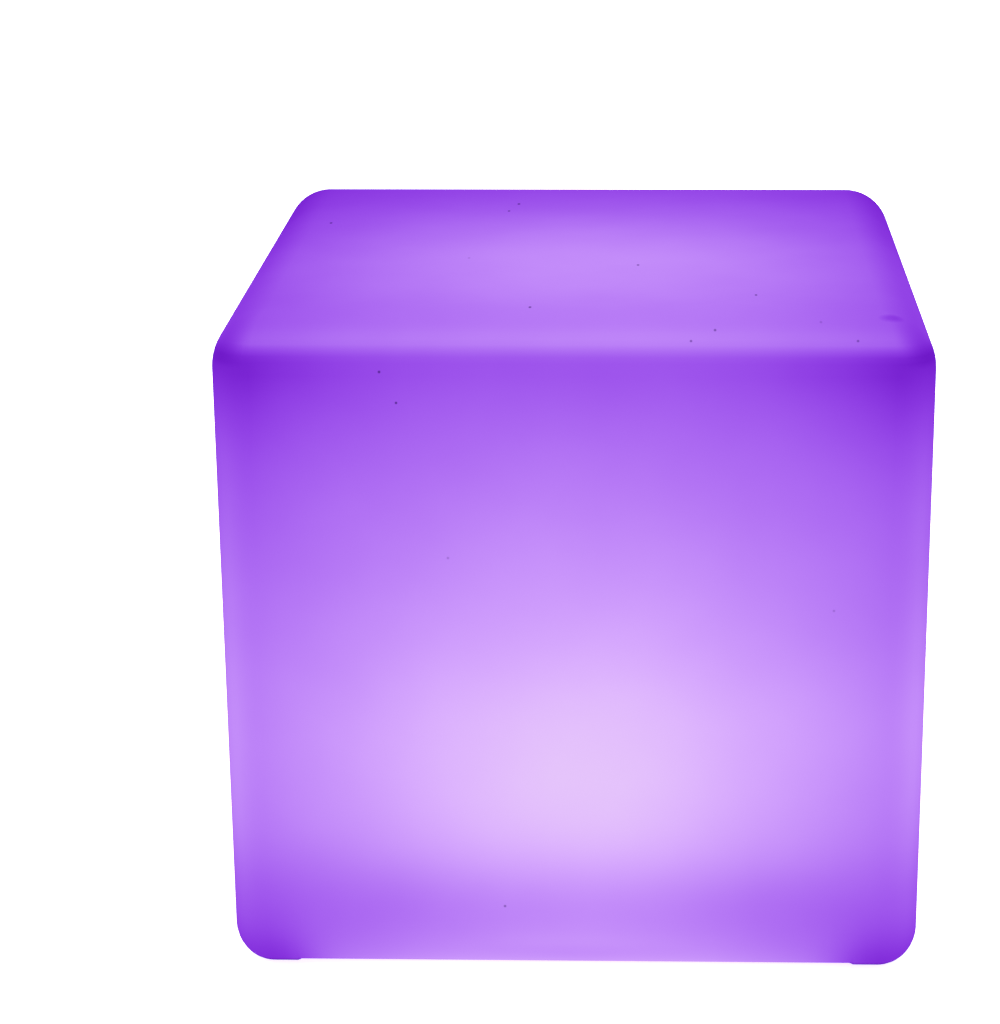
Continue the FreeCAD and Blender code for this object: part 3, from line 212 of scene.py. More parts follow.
# %% Steps down the walls and round the lower edge
def walls_down(half, corner, high, low, rows):
    """Equal steps down the upright walls, without the first."""
    return [level(rounded_square(half, corner), z) for z in after_first(high, low, rows)]


def bottom_in(half, corner, bottom, crown, rows):
    """Steps round the lower edge: inset = radius x (1 - cos) and height = radius x (1 - sin) of the
    angle below the wall."""
    steps = []
    for angle in after_first(0, np.pi / 2, rows):
        inset = crown * (1 - np.cos(angle))
        radius = max(corner - inset, 0.0)
        height = crown * (1 - np.sin(angle))
        steps.append(level(rounded_square(half - inset, radius), bottom + height))
    return steps


WALL_ROWS, BOTTOM_ROWS = 60, 10
floor_z = FOOT_HEIGHT
wall_foot = floor_z + BOTTOM_RADIUS
outside += walls_down(HALF_SIDE, UPRIGHT_RADIUS, HEIGHT - TOP_RADIUS, wall_foot, WALL_ROWS)
outside += bottom_in(HALF_SIDE, UPRIGHT_RADIUS, floor_z, BOTTOM_RADIUS, BOTTOM_ROWS)
print(len(outside), "steps down to the underside")

# %% Steps across the underside and into the recess
def square_to_circle(half, radius, z, shares):
    """Steps across a flat face from the square of that half side in to a circle: each is a mix of
    the two outlines, with the share of the circle rising."""
    square, ring = rounded_square(half, 0.0), circle(radius)
    return [level((1 - t) * square + t * ring, z) for t in shares]


EDGE_ROWS, FOOT_ROWS, UNDERSIDE_ROWS = 3, 5, 14
FOOT_SPAN, FOOT_CLEAR_OUTSIDE, FOOT_CLEAR_INSIDE = 0.02, 0.035, 0.04
RIM_ROWS, RECESS_ROWS, ROOF_ROWS = 5, 4, 4
underside_half = HALF_SIDE - BOTTOM_RADIUS
rim_top, rim_outside = floor_z + RIM_RADIUS, RECESS_RADIUS + RIM_RADIUS
foot_share = (underside_half - FOOT_START) / (underside_half - rim_outside)
shares = np.concatenate([after_first(0, foot_share - FOOT_CLEAR_OUTSIDE, EDGE_ROWS),
                         foot_share + np.linspace(-FOOT_SPAN, FOOT_SPAN, FOOT_ROWS),
                         np.linspace(foot_share + FOOT_CLEAR_INSIDE, 1, UNDERSIDE_ROWS)])
outside += square_to_circle(underside_half, rim_outside, floor_z, shares)
outside += [level(circle(RECESS_RADIUS + RIM_RADIUS * (1 - np.sin(angle))),
                  floor_z + RIM_RADIUS * (1 - np.cos(angle)))
            for angle in after_first(0, np.pi / 2, RIM_ROWS)]
outside += [level(circle(RECESS_RADIUS), z) for z in after_first(rim_top, RECESS_ROOF, RECESS_ROWS)]
outside += [level(circle(r), RECESS_ROOF)
            for r in after_first(RECESS_RADIUS, OPENING_RADIUS, ROOF_ROWS)]
print(len(outside), "steps outside")

# %% Steps of the inside
INNER_FACE_ROWS, INNER_CROWN_ROWS, INNER_WALL_ROWS, INNER_BOTTOM_ROWS = 10, 6, 16, 5
INNER_FLOOR_ROWS, PEDESTAL_ROWS, PEDESTAL_TOP_ROWS = 6, 3, 3
inner_half, inner_top = HALF_SIDE - WALL, HEIGHT - WALL
inner_floor, inner_corner = floor_z + WALL, UPRIGHT_RADIUS - WALL
inner_crown, inner_bottom = TOP_RADIUS - WALL, BOTTOM_RADIUS - WALL
pedestal, pedestal_top = RECESS_RADIUS + WALL, RECESS_ROOF + WALL
inside = top_down(inner_half, inner_top, inner_corner, inner_crown,
                  INNER_FACE_ROWS, INNER_CROWN_ROWS)
inside += walls_down(inner_half, inner_corner, inner_top - inner_crown,
                     inner_floor + inner_bottom, INNER_WALL_ROWS)
inside += bottom_in(inner_half, inner_corner, inner_floor, inner_bottom, INNER_BOTTOM_ROWS)
inside += square_to_circle(inner_half - inner_bottom, pedestal, inner_floor,
                           after_first(0, 1, INNER_FLOOR_ROWS))
inside += [level(circle(pedestal), z)
           for z in after_first(inner_floor, pedestal_top, PEDESTAL_ROWS)]
inside += [level(circle(r), pedestal_top)
           for r in after_first(pedestal, OPENING_RADIUS, PEDESTAL_TOP_ROWS)]
print(len(inside), "steps inside")

# %% [markdown]
# The cube stands on its four corners, which are moulded one millimetre lower than the edge between
# them. Each foot could be a plate joined on with a Boolean modifier, but its edge would leave
# ragged faces in the rounding. The points already lie close together where a foot begins, so here
# the finished steps are simply pushed down there, and the feet stay part of the one surface.

# %% Lower the four feet
def smooth_rise(low, high, value):
    """0 below low, 1 above high, and the smooth cubic 3t^2 - 2t^3 between."""
    t = np.clip((value - low) / (high - low), 0, 1)
    return t * t * (3 - 2 * t)


def on_foot(points):
    """1 within the square of a foot and 0 outside it: the product of a smooth rise in |x| and one
    in |y| where a foot begins."""
    low, high = FOOT_START - FOOT_BLEND / 2, FOOT_START + FOOT_BLEND / 2
    return (smooth_rise(low, high, np.abs(points[..., 0]))
            * smooth_rise(low, high, np.abs(points[..., 1])))


def lower_feet(points):
    """Sinks the corners of the underside by the height of a foot, and fades that out up the lower
    rounding."""
    fade = 1 - smooth_rise(floor_z, wall_foot, points[..., 2])
    lowered = points.copy()
    lowered[..., 2] -= FOOT_HEIGHT * on_foot(points) * fade
    return lowered


outer_steps = lower_feet(np.array(outside))
inner_steps = np.array(inside)[::-1]
shell_steps = np.concatenate([outer_steps, inner_steps])
print("feet reach down to", round(float(shell_steps[..., 2].min()), 6))

# %% [markdown]
# Blender takes a mesh as a list of points and a list of faces. The steps give the points in rows,
# so each face joins two neighbours of one row to the same two of the next. Where a row shrinks to
# one place, as in the middle of the top, its points are merged, which closes the surface there.

# %% Turn steps into a mesh
def mesh_object(name, vertices, faces, body, smooth_angle=35):
    """A closed mesh at the origin: doubles are merged, faces are turned outwards, and edges sharper
    than the angle stay sharp."""
    mesh = bpy.data.meshes.new(name)
    mesh.from_pydata(vertices.tolist(), [], faces)
    work = bmesh.new()
    work.from_mesh(mesh)
    bmesh.ops.remove_doubles(work, verts=work.verts, dist=1e-6)
    bmesh.ops.recalc_face_normals(work, faces=work.faces)
    work.to_mesh(mesh)
    work.free()
    mesh.shade_smooth()
    mesh.set_sharp_from_angle(angle=np.radians(smooth_angle))
    made = bpy.data.objects.new(name, mesh)
    bpy.context.scene.collection.objects.link(made)
    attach(made, body)
    return made


def grid_faces(steps, points):
    """Four-sided faces between neighbouring steps, all the way round each."""
    row = np.arange(steps - 1)[:, None]
    here = np.arange(points)[None, :]
    beside = (here + 1) % points
    faces = np.stack([row * points + here, row * points + beside,
                      (row + 1) * points + beside, (row + 1) * points + here], axis=-1)
    return faces.reshape(-1, 4)


shell = mesh_object("moulded_shell", shell_steps.reshape(-1, 3),
                    grid_faces(*shell_steps.shape[:2]).tolist(), "lamp")
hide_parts("shell")
print("shell has", len(shell.data.polygons), "faces")

# %% [markdown]
# Six bosses stand on the roof of the recess, inside the hollow, and hold the brass inserts for the
# screws. Such a round thing is a short profile turned about an axis. It could be copied five times
# as an object, but all six are one moulding, so here they are one mesh, made by adding six centres
# to the same turned profile.

# %% The profile of a boss and its turning
BOSS_RADIUS, BOSS_TOP, BOSS_EDGE, BOSS_SUNK = 6.5 * MM, 30 * MM, 1.5 * MM, 1 * MM
INSERT_RADIUS, INSERT_TOP = 3.05 * MM, 27.05 * MM
BOSS_POINTS, BOSS_EDGE_POINTS = 32, 5


def turned(profile, count):
    """Rings of points: each point (radius, height) of the profile goes round the axis, with
    x = radius x cos and y = radius x sin of count equal angles."""
    angle = np.arange(count) * 2 * np.pi / count
    radius, height = np.array(profile).T
    return np.stack([radius[:, None] * np.cos(angle), radius[:, None] * np.sin(angle),
                     np.repeat(height[:, None], count, axis=1)], axis=-1)


boss_edge = [(BOSS_RADIUS - BOSS_EDGE * (1 - np.sin(a)), BOSS_TOP - BOSS_EDGE * (1 - np.cos(a)))
             for a in np.linspace(np.pi / 2, 0, BOSS_EDGE_POINTS)]
boss_root = pedestal_top - BOSS_SUNK
boss_rings = turned([(0, INSERT_TOP), (INSERT_RADIUS, INSERT_TOP), (INSERT_RADIUS, boss_root),
                     (BOSS_RADIUS, boss_root), *boss_edge, (0, BOSS_TOP)], BOSS_POINTS)
print("one boss has", boss_rings[..., 0].size, "points")

# %% Set six bosses round the opening
BOLT_CIRCLE = 67.93 * MM
BOSS_COUNT = 6
boss_angle = np.arange(BOSS_COUNT) * 2 * np.pi / BOSS_COUNT
boss_centres = BOLT_CIRCLE * np.column_stack([np.cos(boss_angle), np.sin(boss_angle),
                                              0 * boss_angle])
boss_points = (boss_rings[None] + boss_centres[:, None, None]).reshape(-1, 3)
first_points = np.arange(BOSS_COUNT) * boss_rings[..., 0].size
boss_faces = grid_faces(*boss_rings.shape[:2])[None] + first_points[:, None, None]
bosses = mesh_object("screw_bosses", boss_points, boss_faces.reshape(-1, 4).tolist(), "lamp")
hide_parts("shell")
print("bosses have", len(bosses.data.polygons), "faces")

# %% [markdown]
# ## The light in the wall
#
# Light from the LEDs reaches the inner side of the wall, spreads in the milky plastic and leaves it
# on the outside. A path tracer could follow it there, but such a wall passes light on mostly
# straight ahead, which costs thousands of samples, and the result wouldn't leave Blender with the
# model. So the light is worked out here, once for each vertex, and kept in the mesh as an
# attribute. The formula adds, on a logarithmic scale, what a lighting engineer would multiply: how
# far the light has come, how steeply it rises from the LEDs, and how much of it goes straight on
# towards someone who stands in front of that side and looks a little down.

# %% Share out the looks of the four sides
TOP_TAKES_OVER = 0.0, 0.6  # upward part of the normal between which the top's share sets in


def onlooker(normals):
    """The direction from each point to someone in front of its side. Each side has the camera's
    direction turned to face it, and at the upright edges the sides are mixed by the squares of the
    normal's two level parts. The top is seen from the front, and mixes in as the normal tips up."""
    level_part = np.hypot(normals[:, 0], normals[:, 1]) + 1e-9
    mixed = np.full_like(normals, 1e-9)
    for quarter in range(4):
        turn = np.array(Matrix.Rotation(quarter * np.pi / 2, 3, "Z"))
        share = np.clip(normals @ (turn @ [0, -1, 0]) / level_part, 0, None) ** 2
        mixed += share[:, None] * (turn @ axis_back)
    tip = smooth_rise(*TOP_TAKES_OVER, normals[:, 2])[:, None]
    mixed = (1 - tip) * mixed + tip * axis_back
    return mixed / np.linalg.norm(mixed, axis=1, keepdims=True)


right_side = onlooker(np.array([[1.0, 0.0, 0.0]]))[0]
print("the right side is seen from", [round(float(v), 3) for v in right_side])

# %% Follow the light from the LEDs to the wall
LIGHT_CENTRE = 0.1169
LIGHT_LEVEL, LIGHT_FALL = 4.9466, 0.9482
AHEAD, AHEAD_SQUARED = 0.6102, -0.1112
STEEPNESS, STEEPNESS_SQUARED = -0.8871, 0.9306
LOW_LEVEL, LOW_MIDDLE, LOW_REACH = 0.5075, 0.0922, 0.0907
GLOW_UNIT = 200


def straight_light(points, normals):
    """Logarithm of the light that crosses the wall: a level, less the fall x the logarithm of the
    way, plus a line and a square in the cosine between the ray and the onlooker, plus a line and a
    square in the ray's steepness, plus the logarithm of the shade that the light unit's rim throws
    on the lower wall, which is a smooth rise with height."""
    way = points - WALL * normals - np.array([0, 0, LIGHT_CENTRE])
    length = np.linalg.norm(way, axis=1)
    ray = way / length[:, None]
    ahead = (ray * onlooker(normals)).sum(1)
    steep = ray[:, 2]
    lit = smooth_rise(LOW_MIDDLE - LOW_REACH, LOW_MIDDLE + LOW_REACH, points[:, 2])
    return (LIGHT_LEVEL - LIGHT_FALL * np.log(length / HALF_SIDE)
            + AHEAD * ahead + AHEAD_SQUARED * ahead ** 2
            + STEEPNESS * steep + STEEPNESS_SQUARED * steep ** 2
            + np.log(LOW_LEVEL + (1 - LOW_LEVEL) * lit))


top_middle = straight_light(np.array([[0, 0, HEIGHT]]), np.array([[0.0, 0.0, 1.0]]))
print("light at the middle of the top:", round(float(np.exp(top_middle[0])), 1))

# %% [markdown]
# A turned mould leaves the wall thicker just below the upper edge and along the upright ones, and
# thinner on the rounding itself. In the photograph that shows as a dark band under a bright strip,
# and as deep violet upper corners. The roundings at the sides of the top are darker than the one in
# front, and the top itself darkens towards those sides and is a touch brighter on the right. The
# rim of the light unit leaves a soft dark band low on each wall, and the corners over the feet are
# dark as well. Some of this comes from slow changes of thickness and some from the way the light
# falls, and the photograph doesn't tell them apart. So each is a soft hill or a fading curve, with
# a few numbers of its own that describe what is seen, and is added to the logarithm.

# %% Numbers for thick and thin places of the wall and for how the light falls
UNDER_EDGE, UNDER_EDGE_FADE, UNDER_EDGE_LENGTH = 0.1789, 0.0715, 0.1882
THICK_END, THIN_START = 13.67, 34.11  # degrees by which the surface tips up
STRIP, STRIP_ANGLE, STRIP_WIDTH = 0.0783, 40.0, 11.21
UPRIGHT_EDGE, UPRIGHT_FADE = 0.0363, 0.0385
TOP_CORNER, TOP_CORNER_FADE = 0.7252, 0.0333
SIDE_ROUNDING = 0.5009
CORNER_ROUNDING = 0.7976
BAND, BAND_HEIGHT, BAND_WIDTH, BAND_LENGTH = 0.2526, 0.0406, 0.0313, 0.4752
LOWER_LIFT, LOWER_LENGTH = -0.1088, 0.0514
FOOT_DARK, FOOT_SPREAD, FOOT_RISE = 0.8540, 0.0221, 0.0234
TOP_LEAN, TOP_ENDS = 0.0424, 0.2188

# upward or downward part of the normal between which a change sets in
SIDE_TIP, CORNER_TIP, TOP_TIP, LOWER_TIP = (0.0, 0.35), (0.1, 0.6), (0.2, 0.9), (0.0, 0.5)
LEVEL_LIMIT = -0.01  # a wall's normal has at least this upward part


def hill(value, width):
    """1 at zero and falling to both sides as exp(-(value / width)^2)."""
    return np.exp(-(value / width) ** 2)


print("a hill is", round(float(hill(1.0, 1.0)), 3), "of its height at its width")

# %% Thick and thin places of the wall, and how the light falls
def wall_changes(points, normals):
    """What thick and thin places of the wall, and the way the light falls, add to the logarithm of
    the light. In this order: a hill in the tilt for the strip on the rounding; a fade down from the
    upper edge, stronger in the middle of a side; a fade from the upright edges, stronger near the
    top; hills in height and along the side for the low band; the sideways part of the normal on the
    rounding of the top; the square of twice the product of its two level parts on the corners
    there; hills for the corners over the feet; a line and a fourth power across the top; and a hill
    along the lower rounding."""
    up, down = normals[:, 2], -normals[:, 2]
    tilt = np.degrees(np.arctan2(np.clip(up, 0, 1), np.hypot(normals[:, 0], normals[:, 1])))
    thick = 1 - smooth_rise(THICK_END, THIN_START, tilt)
    below_edge = np.clip(HEIGHT - TOP_RADIUS - points[:, 2], 0, 1)
    along = np.abs(points[:, :2]).min(1)
    from_upright = np.clip(HALF_SIDE - UPRIGHT_RADIUS - along, 0, 1)
    above_floor = np.clip(points[:, 2] - FOOT_HEIGHT, 0, 1)
    across = points[:, 0] / HALF_SIDE
    upright = UPRIGHT_EDGE + TOP_CORNER * np.exp(-below_edge / TOP_CORNER_FADE) * thick
    corner = (2 * normals[:, 0] * normals[:, 1]) ** 2
    return (STRIP * hill(tilt - STRIP_ANGLE, STRIP_WIDTH)
            - (UNDER_EDGE * np.exp(-below_edge / UNDER_EDGE_FADE) * thick * (up > LEVEL_LIMIT)
               * (1 + hill(along, UNDER_EDGE_LENGTH)))
            - upright * np.exp(-from_upright / UPRIGHT_FADE)
            - BAND * hill(points[:, 2] - BAND_HEIGHT, BAND_WIDTH) * hill(along, BAND_LENGTH)
            - SIDE_ROUNDING * np.abs(normals[:, 0]) * smooth_rise(*SIDE_TIP, up)
            - CORNER_ROUNDING * corner * smooth_rise(*CORNER_TIP, up)
            - FOOT_DARK * hill(from_upright, FOOT_SPREAD) * hill(above_floor, FOOT_RISE)
            + (TOP_LEAN * across - TOP_ENDS * across ** 4) * smooth_rise(*TOP_TIP, up)
            + LOWER_LIFT * hill(along, LOWER_LENGTH) * smooth_rise(*LOWER_TIP, down))


mid_edge = wall_changes(np.array([[0, -HALF_SIDE, HEIGHT - TOP_RADIUS]]), np.array([[0, -1.0, 0]]))
print("light under the upper edge times", round(float(np.exp(mid_edge[0])), 3))

# %% [markdown]
# The light could be painted into a picture and laid on the cube, but a picture needs seams, and the
# light changes so slowly that the points of the mesh can carry it. Each keeps one number, the glow.
# A second number paints a contact shadow on the lowest millimetres of the feet, which stand on the
# ground: it holds the light back there.

# %% Work out the glow
UNDERSIDE_GLOW, RECESS_GLOW = 0.2, 0.16
UNDERSIDE_TIP = 0.93, 0.995  # downward part of the normal between which the underside sets in


def vertex_array(mesh, name):
    """A vector of each vertex as one row of an array."""
    flat = np.empty(len(mesh.vertices) * 3)
    mesh.vertices.foreach_get(name, flat)
    return flat.reshape(-1, 3)


def wall_glow(mesh):
    """The glow of each vertex, where 1 is the brightest place. The inner side has its normals
    turned round, so that both sides of the wall glow alike. The underside, which no LED faces, has
    its own even glow, and so has the recess."""
    points, normals = vertex_array(mesh, "co"), vertex_array(mesh, "normal")
    middle = np.array([0, 0, HEIGHT / 2])
    normals[((points - middle) * normals).sum(1) < 0] *= -1
    value = np.exp(straight_light(points, normals) + wall_changes(points, normals)) / GLOW_UNIT
    under = smooth_rise(*UNDERSIDE_TIP, -normals[:, 2])
    value = (1 - under) * value + under * UNDERSIDE_GLOW
    reach = np.linalg.norm(points[:, :2], axis=1)
    recessed = (reach < RECESS_RADIUS + WALL) & (points[:, 2] < RECESS_ROOF + WALL + MM)
    return np.where(recessed, RECESS_GLOW, value)


shell_glow = wall_glow(shell.data)
print("glow from", round(float(shell_glow.min()), 3), "to", round(float(shell_glow.max()), 3))

# %% Work out the painted contact shadow at the feet
FOOT_SHADE, FOOT_SHADE_HEIGHTS = 0.6, (2.0 * MM, 6.3 * MM)
FOOT_SHADE_REACH = (179.0 * MM, 185.0 * MM)  # from the middle, where the rounding begins


def foot_unshadowed_share(mesh):
    """The share of the light left by a painted contact shadow on the lowest millimetres of the
    feet, where the corner stands on the ground: 1 less the shade x what on_foot gives, x a rise at
    the rounding outside the flat sole, x a fall with height."""
    points = vertex_array(mesh, "co")
    outer = smooth_rise(*FOOT_SHADE_REACH, np.abs(points[:, :2]).max(axis=1))
    low = 1 - smooth_rise(*FOOT_SHADE_HEIGHTS, points[:, 2])
    return 1 - FOOT_SHADE * on_foot(points) * outer * low


shell_unshadowed_share = foot_unshadowed_share(shell.data)
print("least share of the light at the feet:", round(float(shell_unshadowed_share.min()), 3))

# %% Keep both numbers in the meshes
def keep_numbers(piece, glow, unshadowed_share):
    """Stores two numbers for each vertex as attributes that the finish reads."""
    for name, value in (("glow", glow), ("unshadowed_share", unshadowed_share)):
        every = np.zeros(len(piece.data.vertices), dtype=np.float32) + value
        attribute = piece.data.attributes.new(name, "FLOAT", "POINT")
        attribute.data.foreach_set("value", every.astype(np.float32))


keep_numbers(shell, shell_glow, shell_unshadowed_share)
keep_numbers(bosses, RECESS_GLOW, 1.0)
print("kept", [a.name for a in shell.data.attributes if a.name in ("glow", "unshadowed_share")])

# %% [markdown]
# ## The finish of the shell
#
# Polyethylene from a turned mould is satin, with a faint unevenness that a hand feels more than the
# eye sees, and a few dark specks of burnt powder in it. The colour of the light isn't one violet:
# where it is weak only the blue and a little red get through, and where it is strong the wall
# turns pale pink. A colour ramp turns the single number of the glow into those colours.

# %% Helpers for materials
def new_material(name):
    """A material with one plain Principled shader, its tree and the shader."""
    material = bpy.data.materials.new(name)
    material.use_nodes = True
    tree = material.node_tree
    return material, tree, tree.nodes["Principled BSDF"]


def add_node(tree, kind, inputs=None, **settings):
    """A node of that kind with its settings and its sockets: a socket given as another node's
    socket is linked, and anything else is set as its value."""
    node = tree.nodes.new("ShaderNode" + kind)
    for name, value in settings.items():
        setattr(node, name, value)
    for name, value in (inputs or {}).items():
        if isinstance(value, bpy.types.NodeSocket):
            tree.links.new(value, node.inputs[name])
        else:
            node.inputs[name].default_value = value
    return node


def object_place(tree):
    """The place on the piece, in metres."""
    return add_node(tree, "TexCoord").outputs["Object"]


NOISE_RANGE = 0.3, 0.7  # nearly all of a noise lies between these


def between(tree, noise, low, high, usual=NOISE_RANGE):
    """A noise whose usual range is stretched to run from low to high, as one socket."""
    return add_node(tree, "MapRange", {"Value": noise.outputs["Fac"], "From Min": usual[0],
                                       "From Max": usual[1], "To Min": low,
                                       "To Max": high}).outputs[0]


print("materials have helpers for nodes, places and noises")

# %% [markdown]
# The burnt grains are half a millimetre to a millimetre wide, far finer than the mesh. Each is a
# small ball in the finish, given by its place and radius, and where the ball cuts the surface the
# light is held back. On the top they are drawn out to the back, because round ones would look like
# flat dashes from the front. The longer, fainter flow mark on the front right corner of the top is
# made the same way, but a mark in the plastic only dims the glow, where a burnt grain hides it.

# %% Burnt grains and a flow mark
SPECKS = (  # place in millimetres, stretch along x and y, radius, share of the light that is left
    ((101.7, -136.3, 391.6), (1, 2.4), 0.95, 0.15), ((-96.4, -200.0, 345.5), (1, 1), 0.95, 0.15),
    ((-43.1, 122.1, 391.6), (1, 2.4), 1.25, 0.15), ((-24.0, -167.3, 391.6), (1, 2.4), 1.10, 0.20),
    ((-158.3, 60.6, 391.6), (1, 2.4), 1.10, 0.10), ((-48.4, 99.3, 391.6), (1, 2.4), 1.10, 0.20),
    ((-105.3, -200.0, 362.9), (1, 1), 1.05, 0.20), ((35.0, -59.2, 391.6), (1, 2.4), 1.10, 0.30),
    ((-40.1, -200.0, 44.2), (1, 1), 1.05, 0.40), ((64.7, -193.8, 379.2), (1, 1), 0.95, 0.35),
    ((77.8, -189.1, 384.2), (1, 1.3), 1.00, 0.35), ((155.4, -193.6, 379.4), (1, 1), 1.00, 0.40),
    ((-69.5, -200.0, 256.3), (1, 1), 1.00, 0.65), ((145.7, -200.0, 226.3), (1, 1), 1.00, 0.68),
    ((-65.4, -41.0, 391.6), (1, 2.4), 1.00, 0.70), ((135.6, -184.2, 387.7), (1, 1.4), 1.00, 0.70),
    ((200.0, 64.0, 301.0), (1, 1), 0.95, 0.50), ((200.0, -81.0, 132.0), (1, 1), 0.95, 0.60),
    ((-200.0, 37.0, 210.0), (1, 1), 0.95, 0.45), ((-200.0, -102.0, 88.0), (1, 1), 0.90, 0.60),
    ((88.0, 200.0, 271.0), (1, 1), 0.95, 0.50), ((-57.0, 200.0, 154.0), (1, 1), 0.95, 0.55),
)
FLOW_MARKS = (((174.5, -180.5, 389.1), (2.2, 1.2), 3.60, 0.74),)
CORE_SHARE = 1 / 3  # of the radius, where a speck holds back the most


def light_past(tree, place, specks):
    """The share of the light that gets past the specks, as one socket: for each speck the distance
    from its middle, with x and y divided by their stretches, sets a share that rises from the least
    at a third of the radius to 1 at the radius, and the shares are multiplied."""
    through = None
    for middle, (stretch_x, stretch_y), radius, least in specks:
        away = add_node(tree, "VectorMath", {0: place, 1: Vector(middle) * MM},
                        operation="SUBTRACT")
        squeezed = add_node(tree, "VectorMath", {0: away.outputs[0],
                                                 1: (1 / stretch_x, 1 / stretch_y, 1)},
                            operation="MULTIPLY")
        distance = add_node(tree, "VectorMath", {0: squeezed.outputs[0]}, operation="LENGTH")
        share = add_node(tree, "MapRange", {"Value": distance.outputs["Value"],
                                            "From Min": radius * MM * CORE_SHARE,
                                            "From Max": radius * MM,
                                            "To Min": least, "To Max": 1.0}).outputs[0]
        if through is not None:
            share = add_node(tree, "Math", {0: through, 1: share}, operation="MULTIPLY").outputs[0]
        through = share
    return through


print(len(SPECKS), "specks,", len(FLOW_MARKS), "flow mark")

# %% The colour at each glow
REFLECTED = np.array([0.011, 0.003, 0.026])
RED_CURVE = (-252.2, 591.5, -500.0, 313.3, 78.3)
BLUE_CURVE = (-357.3, 854.0, -791.3, 381.4, 162.9)
GLOW_STOPS, FAINTEST_STOP = 24, 0.03


def screen_colour(red, green, blue):
    """Linear colour of a screen colour whose parts go up to 255: the screen's curve is a straight
    line near black and a power of 2.4 above."""
    screen = np.array([red, green, blue]) / 255
    linear = np.where(screen <= 0.04045, screen / 12.92, ((screen + 0.055) / 1.055) ** 2.4)
    return (*linear.tolist(), 1.0)


def light_given(glow):
    """The linear colour that the wall gives off at one glow. Seen in white surroundings, its screen
    green is the glow in its own unit, and red and blue are polynomials of the glow, from the fourth
    power down. What the near-black base throws back of the surroundings is taken off."""
    seen = screen_colour(np.polyval(RED_CURVE, glow), glow * GLOW_UNIT,
                         np.polyval(BLUE_CURVE, glow))
    return (*np.clip(np.array(seen[:3]) - REFLECTED, 0, 1).tolist(), 1.0)


def glow_ramp(tree, glow):
    """A ramp from the faintest glow to the brightest, with stops at equal distances."""
    ramp = add_node(tree, "ValToRGB", {"Fac": glow})
    elements = ramp.color_ramp.elements
    elements.remove(elements[1])
    first, *others = np.linspace(FAINTEST_STOP, 1.0, GLOW_STOPS).tolist()
    elements[0].position, elements[0].color = first, light_given(first)
    for stop in others:
        elements.new(stop).color = light_given(stop)
    return ramp.outputs["Color"]


print("light at half the glow:", [round(v, 3) for v in light_given(0.5)[:3]])

# %% Make the light of the glowing finish
CLOUD_CELLS, CLOUD_REACH = 15, 0.011  # cells a metre, and how far they change the glow
# the colour of the burnt grains, also used for the painted contact shadow at the feet
BURNT_GRAIN_AND_SHADOW = screen_colour(44, 10, 98)

shell_material, tree, shader = new_material("glowing_polyethylene")
place = object_place(tree)
glow_value = add_node(tree, "Attribute", attribute_name="glow").outputs["Fac"]
cloud = add_node(tree, "TexNoise", {"Vector": place, "Scale": CLOUD_CELLS, "Detail": 3,
                                    "Roughness": 0.45})
cloudy = between(tree, cloud, -CLOUD_REACH, CLOUD_REACH)
dimmed = add_node(tree, "Math", {0: glow_value, 1: light_past(tree, place, FLOW_MARKS)},
                  operation="MULTIPLY")
uneven = add_node(tree, "Math", {0: dimmed.outputs[0], 1: cloudy}, operation="ADD")
light = glow_ramp(tree, uneven.outputs[0])
# the specks and the painted contact shadow at the feet both mix the light towards that dark colour
unshadowed_share = add_node(tree, "Attribute", attribute_name="unshadowed_share").outputs["Fac"]
clear = add_node(tree, "Math", {0: light_past(tree, place, SPECKS), 1: unshadowed_share},
                 operation="MULTIPLY")
specked = add_node(tree, "MixRGB", {"Fac": clear.outputs[0], "Color1": BURNT_GRAIN_AND_SHADOW, "Color2": light})
tree.links.new(specked.outputs[0], shader.inputs["Emission Color"])
shader.inputs["Emission Strength"].default_value = 1.0
print("its light has", len(tree.nodes), "nodes")

# %% Make the surface of the glowing finish
SATIN_CELLS, SATIN_ROUGH = 900, (0.42, 0.55)
DIMPLE_STRENGTH, DIMPLE_DEPTH = 0.15, 0.2 * MM
DARK_BASES = (0.005, 0.001, 0.012, 1), (0.007, 0.002, 0.018, 1)

base = add_node(tree, "MixRGB", {"Fac": cloud.outputs["Fac"], "Color1": DARK_BASES[0],
                                 "Color2": DARK_BASES[1]})
tree.links.new(base.outputs[0], shader.inputs["Base Color"])
satin = add_node(tree, "TexNoise", {"Vector": place, "Scale": SATIN_CELLS, "Detail": 2})
satin_rough = between(tree, satin, *SATIN_ROUGH, usual=(0, 1))
tree.links.new(satin_rough, shader.inputs["Roughness"])
dimple = add_node(tree, "Bump", {"Height": satin.outputs["Fac"], "Strength": DIMPLE_STRENGTH,
                                 "Distance": DIMPLE_DEPTH})
tree.links.new(dimple.outputs[0], shader.inputs["Normal"])
shader.inputs["Specular IOR Level"].default_value = 0.0
for piece in (shell, bosses):
    piece.data.materials.append(shell_material)
print("shell finish has", len(tree.nodes), "nodes")

# %% [markdown]
# ## Finishes of the light unit
#
# The light unit is off-the-shelf electronics in moulded housings. Each of its finishes could have
# its own tangle of nodes, but all of them have the same three things: a colour that isn't quite
# even, a gloss that a fine grain breaks up, and a relief of a few hundredths of a millimetre. One
# function makes them all, and a table gives each its numbers. A brushed or turned metal is the same
# grain drawn out in one direction.

# %% One function for all the plain finishes
GRAIN_IN_CLOUD = 12  # cells of the grain across one of the cloud
RELIEF_STRENGTH = 0.6


